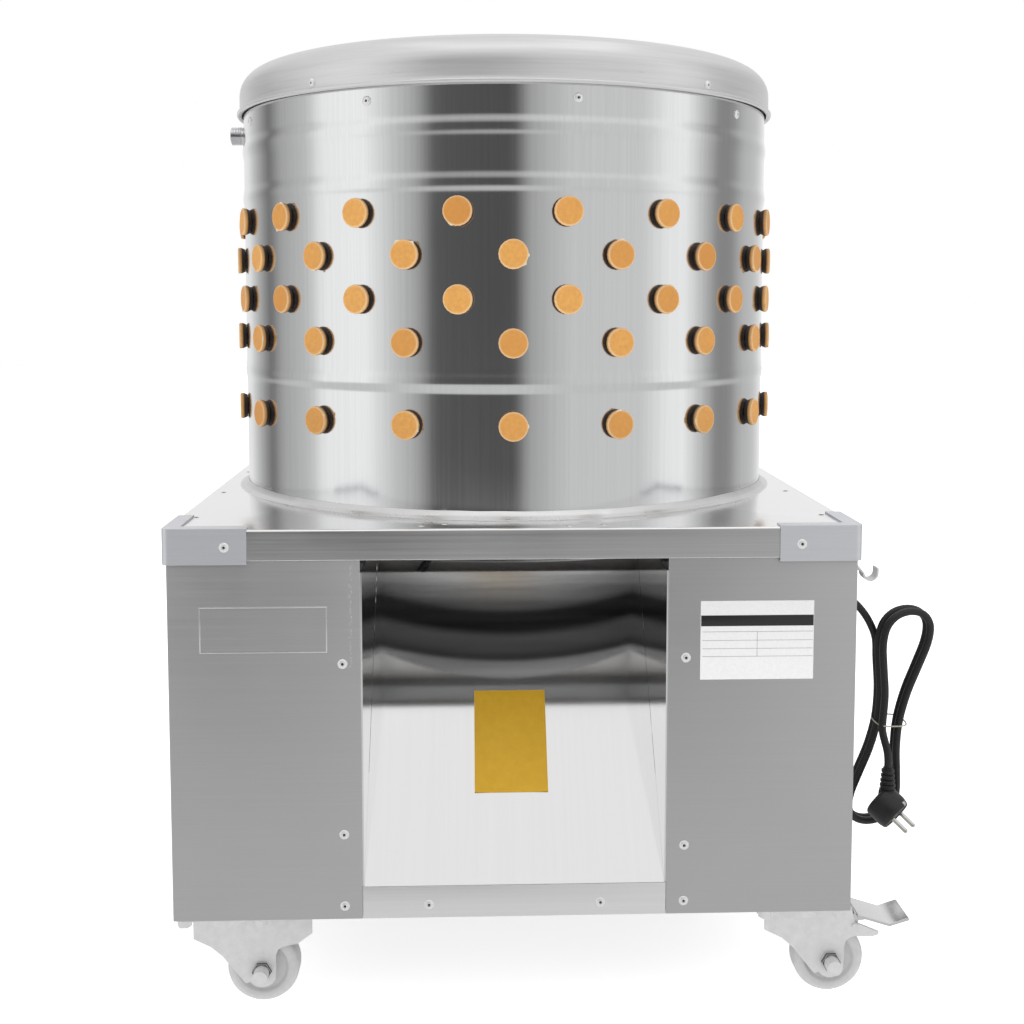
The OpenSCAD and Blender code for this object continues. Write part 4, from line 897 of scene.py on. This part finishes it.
def makeTopPlate():
    p = plateSetup
    n, s, wide, deep, corner = p["points"], p["sheet"], p["wide"], p["deep"], p["corner"]
    hole = drumR + 0.15
    bottom = plateZ - p["lip"]
    loops = [turnLoop(hole, plateZ, n)]
    for k in range(7):
        a = math.radians(90 * k / 6)
        shrink = 2 * p["fold"] * (1 - math.sin(a))
        loops.append(roundedLoop(wide - shrink, deep - shrink, corner - shrink / 2,
                                 plateZ - p["fold"] * (1 - math.cos(a)), n))
    for inset, z in ((0, bottom + 0.3), (0.3, bottom), (s, bottom), (s, plateZ - s)):
        loops.append(roundedLoop(wide - 2 * inset, deep - 2 * inset, corner - inset, z, n))
    loops.append(turnLoop(hole, plateZ - s, n))
    bm = bmesh.new()
    skinLoops(bm, loops, closed=True)
    mesh = meshFrom(bm)
    for finish in ("plate", "lip", "satin"):
        mesh.materials.append(finishes[finish])
    for face in mesh.polygons:
        x, y, z = face.center / mm
        onLip = z < plateZ - p["fold"] * 0.6
        inside = abs(x) < wide / 2 - s * 0.9 and abs(y) < deep / 2 - s * 0.9
        face.material_index = 2 if face.normal.z < -0.5 or (onLip and inside) else (1 if onLip else 0)
    placePiece("topPlate", mesh, "plate", "cabinet", ("top_plate",), 30)


panelSetup = {
    "low": 100, "high": 474.5, "sheet": 1.5, "mouthHalf": 145, "sillHalf": 144.85, "sillTop": 131,
    "edge": 0.6, "capEdge": 0.3,
}


def makePanels():
    p = panelSetup
    fronts = (("frontPanelLeft", -panelX, -p["mouthHalf"], p["high"], "panel", "front_panel_left"),
              ("frontPanelRight", p["mouthHalf"], panelX, p["high"], "panel", "front_panel_right"),
              ("sillRail", -p["sillHalf"], p["sillHalf"], p["sillTop"], "sill", "sill_rail"))
    for name, x0, x1, high, finish, nodeName in fronts:
        bm = bmesh.new()
        softBox(bm, (x0, -panelY, p["low"]), (x1, p["sheet"] - panelY, high), p["edge"], 3)
        placePiece(name, meshFrom(bm), finish, "cabinet", (nodeName,))
    placePiece("cornerCaps", bevelCopy("corner_caps", p["capEdge"]), "cap", "cabinet",
               ("corner_caps",), 0)


makeTopPlate()
makePanels()
print("cabinet made")


# bare plates, sticker, spot welds and small holes

signSetup = {
    "rating": (175.5, 329.6, 283.5, 405.3), "band": (0.68, 0.817), "rules": (0.29, 0.39, 0.495, 0.605),
    "plateT": 0.5, "name": (-295, 359, -176, 403), "nameEdge": 1.3, "nameT": 0.4,
    "sticker": (73, 105.6), "stickerT": 0.18, "stickerPlace": (-1.4, 140.6), "stickerGrid": (24, 30),
    "slopeFoot": (0, -345, 131), "lean": 52.25,
    "weldX": -154, "weldLow": 345, "weldHigh": 443, "weldCount": 26, "weldSeed": 8,
    "weldStray": (1.3, 1.2), "weldSizes": ((0.25, 0.6, 0.4), (0.8, 1.0, 1.4)),
}


def makeTiles(name, tiles, finish, thick, edge, lift=0.0):
    # flat tiles of (x0, z0, x1, z1) on the front panels
    front = -panelY - lift
    bm = bmesh.new()
    for x0, z0, x1, z1 in tiles:
        softBox(bm, (x0, front - thick, z0), (x1, front + 0.2, z1), edge)
    placePiece(name, meshFrom(bm), finish, "cabinet")


def makeSigns():
    s = signSetup
    x0, z0, x1, z1 = s["rating"]
    low, top = [z0 + share * (z1 - z0) for share in s["band"]]
    rules = [z0 + share * (z1 - z0) for share in s["rules"]]
    middle = (x0 + x1) / 2
    lines = [(x0 + 2, z, x1 - 1, z + 0.5) for z in rules]
    lines.append((middle - 0.25, rules[0], middle + 0.25, rules[-1]))
    makeTiles("ratingPlate", [s["rating"]], "white", s["plateT"], 0.2)
    makeTiles("ratingBand", [(x0 + 0.4, low, x1 - 0.4, top)], "ink", 0.08, 0.02, s["plateT"])
    makeTiles("ratingRules", lines, "line", 0.06, 0.02, s["plateT"])
    x0, z0, x1, z1 = s["name"]
    e = s["nameEdge"]
    low, top = z0 + e, z1 - e
    sides = [(x0, z0, x1, low), (x0, top, x1, z1), (x0, low, x0 + e, top), (x1 - e, low, x1, top)]
    makeTiles("nameFrame", sides, "edge", s["nameT"], 0.15)


def makeSticker():
    # a plain sticker on the chute's slope, its lower corners lifting a little
    s = signSetup
    wide, long = s["sticker"]
    lean = math.radians(s["lean"])
    along = Vector((0, math.cos(lean), math.sin(lean)))
    up = Vector((0, -math.sin(lean), math.cos(lean)))
    origin = Vector(s["slopeFoot"])
    nx, ny = s["stickerGrid"]
    bm = bmesh.new()
    rows = {}
    for level in (0, 1):
        for j in range(ny + 1):
            for i in range(nx + 1):
                u, v = i / nx - 0.5, j / ny - 0.5
                corner = max(0.0, abs(u) - 0.3) * max(0.0, -v - 0.3) * 25
                swell = 0.12 * math.sin(9 * u + 2) * math.sin(7 * v) + 0.12
                lift = 0.1 + swell + corner + s["stickerT"] * level
                point = (origin + Vector((s["stickerPlace"][0] + u * wide, 0, 0))
                         + along * (s["stickerPlace"][1] + v * long) + up * lift)
                rows[level, j, i] = bm.verts.new(point * mm)
    for j in range(ny):
        for i in range(nx):
            for level in (0, 1):
                quad = [rows[level, a, b] for a, b in ((j, i), (j, i + 1), (j + 1, i + 1), (j + 1, i))]
                bm.faces.new(quad if level else quad[::-1])
    edge = [(0, i) for i in range(nx)] + [(j, nx) for j in range(ny)]
    edge += [(ny, nx - i) for i in range(nx)] + [(ny - j, 0) for j in range(ny)]
    for (j, i), (k, m) in zip(edge, edge[1:] + edge[:1]):
        bm.faces.new((rows[0, j, i], rows[0, k, m], rows[1, k, m], rows[1, j, i]))
    placePiece("chuteSticker", meshFrom(bm), "yellow", "cabinet")


def makeSpotWelds():
    s = signSetup
    tree, source, target = newTree("spotWeldLine", [
        ("Count", "Int"), ("Start", "Vector"), ("End", "Vector")])
    line = addNode(tree, "GeometryNodeMeshLine", {"mode": "END_POINTS"}, {
        "Count": source.outputs["Count"], "Start Location": source.outputs["Start"],
        "Offset": source.outputs["End"]})
    x, z = [v * mm for v in s["weldStray"]]
    stray = addNode(tree, "FunctionNodeRandomValue", {"data_type": "FLOAT_VECTOR"},
                    {0: (-x, 0, -z), 1: (x, 0, z), "Seed": s["weldSeed"]})
    small, large = s["weldSizes"]
    size = addNode(tree, "FunctionNodeRandomValue", {"data_type": "FLOAT_VECTOR"},
                   {0: small, 1: large, "Seed": s["weldSeed"] + 1})
    points = addNode(tree, "GeometryNodeSetPosition", values={"Geometry": line, "Offset": stray})
    spread = addNode(tree, "GeometryNodeInstanceOnPoints", values={
        "Points": points, "Scale": size, "Instance": shapeFrom(tree, source)})
    closeTree(tree, source, target, [spread], s["weldSeed"])
    dome = lathe([(0, 0.4), (0.9, 0.33), (1.5, 0.12), (1.7, -0.2)], 12,
                 Matrix.Rotation(math.pi / 2, 4, "X"), closed=False)
    start, end = [(s["weldX"] * mm, -panelY * mm, z * mm) for z in (s["weldLow"], s["weldHigh"])]
    mesh = growMesh("spotWelds", tree, dome, "weld", {"Count": s["weldCount"], "Start": start, "End": end})
    placePiece("spotWelds", mesh, "weld", "cabinet", (), 60)


holeSetup = {
    "holes": ((-313, -116), (-313, 51), (-310, -278), (-255, -331),
              (309, -126), (309, 41), (306, -284), (254, -332)),
    "studs": ((-88, -333), (-66, -323), (-29, -313), (52, -337), (85, -333)),
    "dimple": ((0, 0.12), (2.2, 0.12), (2.4, -0.3)),
    "burr": ((2.2, -0.2), (2.25, 0.25), (2.8, 0.3), (3.3, 0.02), (3.3, -0.2)),
    "stud": ((0, 0.9), (2.0, 0.8), (3.0, 0.45), (3.4, -0.2)),
}


def makePlateMarks():
    # small punched holes shown as dimples painted near black for the shade inside them, with a bright burr,
    # and flush studs near the foot
    h = holeSetup
    dark, bright = bmesh.new(), bmesh.new()
    for bm, places, shape, closed in ((dark, "holes", "dimple", False), (bright, "holes", "burr", True),
                                      (bright, "studs", "stud", False)):
        for x, y in h[places]:
            addTurned(bm, h[shape], 18, moveTo(x, y, plateZ), closed)
    # the dark dimples are painted shade in place of open holes
    placePiece("plateHoles", meshFrom(dark), "hole", "cabinet")
    placePiece("plateStuds", meshFrom(bright), "weld", "cabinet", (), 60)


makeSigns()
makeSticker()
makeSpotWelds()
makePlateMarks()
print("signs and marks made")


# casters

casterSetup = {
    "corners": {"front_left": (-246, -300), "front_right": (314, -300), "rear_left": (-314, 300),
                "rear_right": (314, 300)},
    "wheelR": 35, "wheelW": 25, "hubW": 30, "treadR": 6, "axleR": 4.05,
    "leg": 18.3, "nutR": 9.6, "nutT": 4.1, "endR": 7.35, "forkEdge": 0.5, "pedalEdge": 0.6,
}


def wheelMesh(x, y):
    w = casterSetup
    half, hub, r = w["wheelW"] / 2, w["hubW"] / 2, w["wheelR"]
    tread = w["treadR"]
    right = [(w["axleR"], hub), (10.4, hub), (11, hub - 0.6), (12, half - 2.4), (13, half - 3),
             (r - 13.4, half - 3), (r - 12, half - 2.2), (r - 10.6, half - 0.5), (r - 9.4, half),
             (r - tread, half)]
    for turn in range(12, 91, 13):
        a = math.radians(turn)
        right.append((r - tread + tread * math.sin(a), half - tread + tread * math.cos(a)))
    profile = right + [(a, -z) for a, z in reversed(right)]
    return lathe(profile, 72, moveTo(x, y, r) @ Matrix.Rotation(math.pi / 2, 4, "X"))


def nutMesh(x, y):
    # dark hexagon nuts round the axle's ends, a hair over the shape under them; their dark iron is painted
    # shade standing in for the shadow in the hex recess
    w = casterSetup
    bm = bmesh.new()
    ring = [(w["endR"], 0), (w["nutR"] - 0.5, 0), (w["nutR"], 0.5), (w["nutR"], w["nutT"] - 0.5),
            (w["nutR"] - 0.5, w["nutT"]), (w["endR"], w["nutT"])]
    profile = [(r, w["leg"] + z) for r, z in ring]
    for side in (-1, 1):
        turn = Matrix.Rotation(side * math.pi / 2, 4, "X")
        addTurned(bm, profile, 6, moveTo(x, y, w["wheelR"]) @ turn, True)
    return meshFrom(bm)


def makeCasters():
    w = casterSetup
    for corner, (x, y) in w["corners"].items():
        placePiece("wheel_" + corner, wheelMesh(x, y), "wheel", "roller_" + corner,
                   ("wheel_" + corner,), 30)
        placePiece("fork_" + corner, bevelCopy("fork_" + corner, w["forkEdge"]), "zinc",
                   "caster_" + corner, ("fork_" + corner,), 0)
        # the nuts take dark iron as painted shade for the recess round the axle
        placePiece("axleNuts_" + corner, nutMesh(x, y), "iron", "caster_" + corner, (), 30)
    for corner in ("front_right", "rear_left"):
        placePiece("pedal_" + corner, bevelCopy("pedal_" + corner, w["pedalEdge"]), "pedal",
                   "brake_" + corner, ("pedal_" + corner,), 0)


makeCasters()
print("casters made")


# water inlet

inletSetup = {
    "r": 10.48, "out": 18, "in": 24, "pitch": 1.8, "depth": 0.9, "flange": 13.48, "flangeT": 3, "bore": 7.1,
    "z": 877.52,
}


def makeInlet():
    n = inletSetup
    profile = [(n["bore"], -n["in"]), (n["bore"], n["out"] - 1), (n["bore"] + 1, n["out"]),
               (n["r"] - 1.2, n["out"])]
    z = n["out"] - 0.8
    while z > n["flangeT"] + n["pitch"]:
        profile += [(n["r"], z), (n["r"], z - n["pitch"] * 0.25), (n["r"] - n["depth"], z - n["pitch"] * 0.6)]
        z -= n["pitch"]
    profile += [(n["r"] - n["depth"], n["flangeT"] + 0.1), (n["flange"] - 0.5, n["flangeT"]),
                (n["flange"], n["flangeT"] - 0.5), (n["flange"], 0.06), (n["r"], 0.06), (n["r"], -n["in"])]
    turn = moveTo(-drumR, 0, n["z"]) @ Matrix.Rotation(-math.pi / 2, 4, "Y")
    placePiece("inletNipple", lathe(profile, 40, turn), "pedal", "cabinet",
               ("inlet_nipple",), 30)


makeInlet()
placePiece("cableHook", bevelCopy("cable_hook", 0.4), "zinc", "cabinet", ("cable_hook",), 0)
placePiece("switchBox", bevelCopy("switch_box", 0.8, 3), "greyPlastic", "cabinet",
           ("switch_box",), 0)
print("fittings made")


# the finishes of the solids that stay as they are

keptSolids = {
    "panel": ("side_panel_left", "side_panel_right", "back_panel"),
    "chute": ("chute_sheet", "chute_wall_left", "chute_wall_right"),
    "pan": ("catch_pan",),
    "satin": ("feather_plate",),
    "plate": ("hub_cap", "spray_ring", "spray_clips"),
    "frame": ("frame_posts", "base_rails", "frame_rails", "bearing_bridge", "motor_plate"),
    "iron": ("bearing_housing", "driven_pulley", "motor_pulley"),
    "shaft": ("main_shaft", "motor_shaft"),
    "motor": ("motor_body",),
    "blackPlastic": ("motor_cover", "cable_gland"),
    "blackRubber": ("drive_belt", "sweepers"),
    "zinc": ("caster_plates",),
    "green": ("start_button",),
    "red": ("stop_button",),
}
for finish, nodeNames in keptSolids.items():
    for nodeName in nodeNames:
        for slot in cad[nodeName].material_slots:
            slot.material = finishes[finish]


# floor and light

lightSetup = {
    # azimuth from the camera's side in degrees, left negative, and how bright that wall of the studio is
    "walls": ((-180, 0.9), (-150, 0.85), (-138, 0.55), (-122, 0.16), (-112, 0.42), (-93, 0.58), (-84, 0.95),
              (-62, 1.0), (-50, 0.66), (-38, 0.42), (-31, 0.1), (3, 0.08), (9, 0.42), (26, 0.64), (58, 0.66),
              (70, 0.92), (80, 0.98), (93, 0.52), (102, 0.26), (112, 0.28), (122, 0.5), (140, 0.62),
              (158, 0.9), (180, 0.9)),
    # how bright the ceiling, its middle and the ground are, and between which heights each fades in
    "layers": ((0.88, 0.3, 0.65), (0.45, 0.93, 0.99), (0.62, -0.17, -0.27)),
}


def makeWorld():
    world = bpy.data.worlds.new("studio")
    scene.world = world
    world.use_nodes = True
    tree = world.node_tree
    tree.nodes.clear()
    way = addNode(tree, "ShaderNodeTexCoord", output="Generated")
    turned = addNode(tree, "ShaderNodeMapping", {"vector_type": "POINT"},
                     {"Vector": way, "Rotation": (0, 0, math.radians(90))})
    circle = addNode(tree, "ShaderNodeTexGradient", {"gradient_type": "RADIAL"}, {"Vector": turned}, "Fac")
    walls = [((azimuth + 180) / 360, level) for azimuth, level in lightSetup["walls"]]
    colour = rampOf(tree, circle, walls)
    height = addNode(tree, "ShaderNodeSeparateXYZ", values={"Vector": way}, output="Z")
    for level, start, end in lightSetup["layers"]:
        colour = mixColours(tree, spreadTo(tree, height, 0, 1, (start, end)), colour, (level,) * 3)
    glow = addNode(tree, "ShaderNodeBackground", values={"Color": colour, "Strength": 1.0})
    plain = addNode(tree, "ShaderNodeBackground", values={"Color": (1, 1, 1, 1), "Strength": 1.0})
    seen = addNode(tree, "ShaderNodeLightPath", output="Is Camera Ray")
    sky = addNode(tree, "ShaderNodeMixShader", values={0: seen, 1: glow, 2: plain})
    setInputs(tree, tree.nodes.new("ShaderNodeOutputWorld"), {"Surface": sky})


def makeFloor():
    mesh = lathe([(r, -0.2) for r in (1, 1000, 4000, 12000)], 96, closed=False)
    material, tree, surface = startMaterial("paleFloor", (0.92, 0.92, 0.92), 0.0, 0.9)
    setInputs(tree, surface, {"Emission Color": (1, 1, 1, 1), "Emission Strength": 0.75})
    mesh.materials.append(material)
    floor = bpy.data.objects.new("studioFloor", mesh)
    floor.visible_glossy = False
    scene.collection.objects.link(floor)


lampSetup = {"place": (200, -600, 3200), "target": (0, 0, 400), "size": (2600, 2200), "power": 8}


def makeLamp():
    s = lampSetup
    lamp = bpy.data.lights.new("topSoftbox", "AREA")
    lamp.shape = "RECTANGLE"
    lamp.size, lamp.size_y = [v * mm for v in s["size"]]
    lamp.energy = s["power"]
    holder = bpy.data.objects.new("topSoftbox", lamp)
    holder.location = [v * mm for v in s["place"]]
    holder.rotation_euler = (Vector(s["target"]) - Vector(s["place"])).to_track_quat("-Z", "Y").to_euler()
    scene.collection.objects.link(holder)


makeWorld()
makeFloor()
makeLamp()
scene.view_settings.view_transform = "Standard"
scene.view_settings.look = "None"
print("studio set")
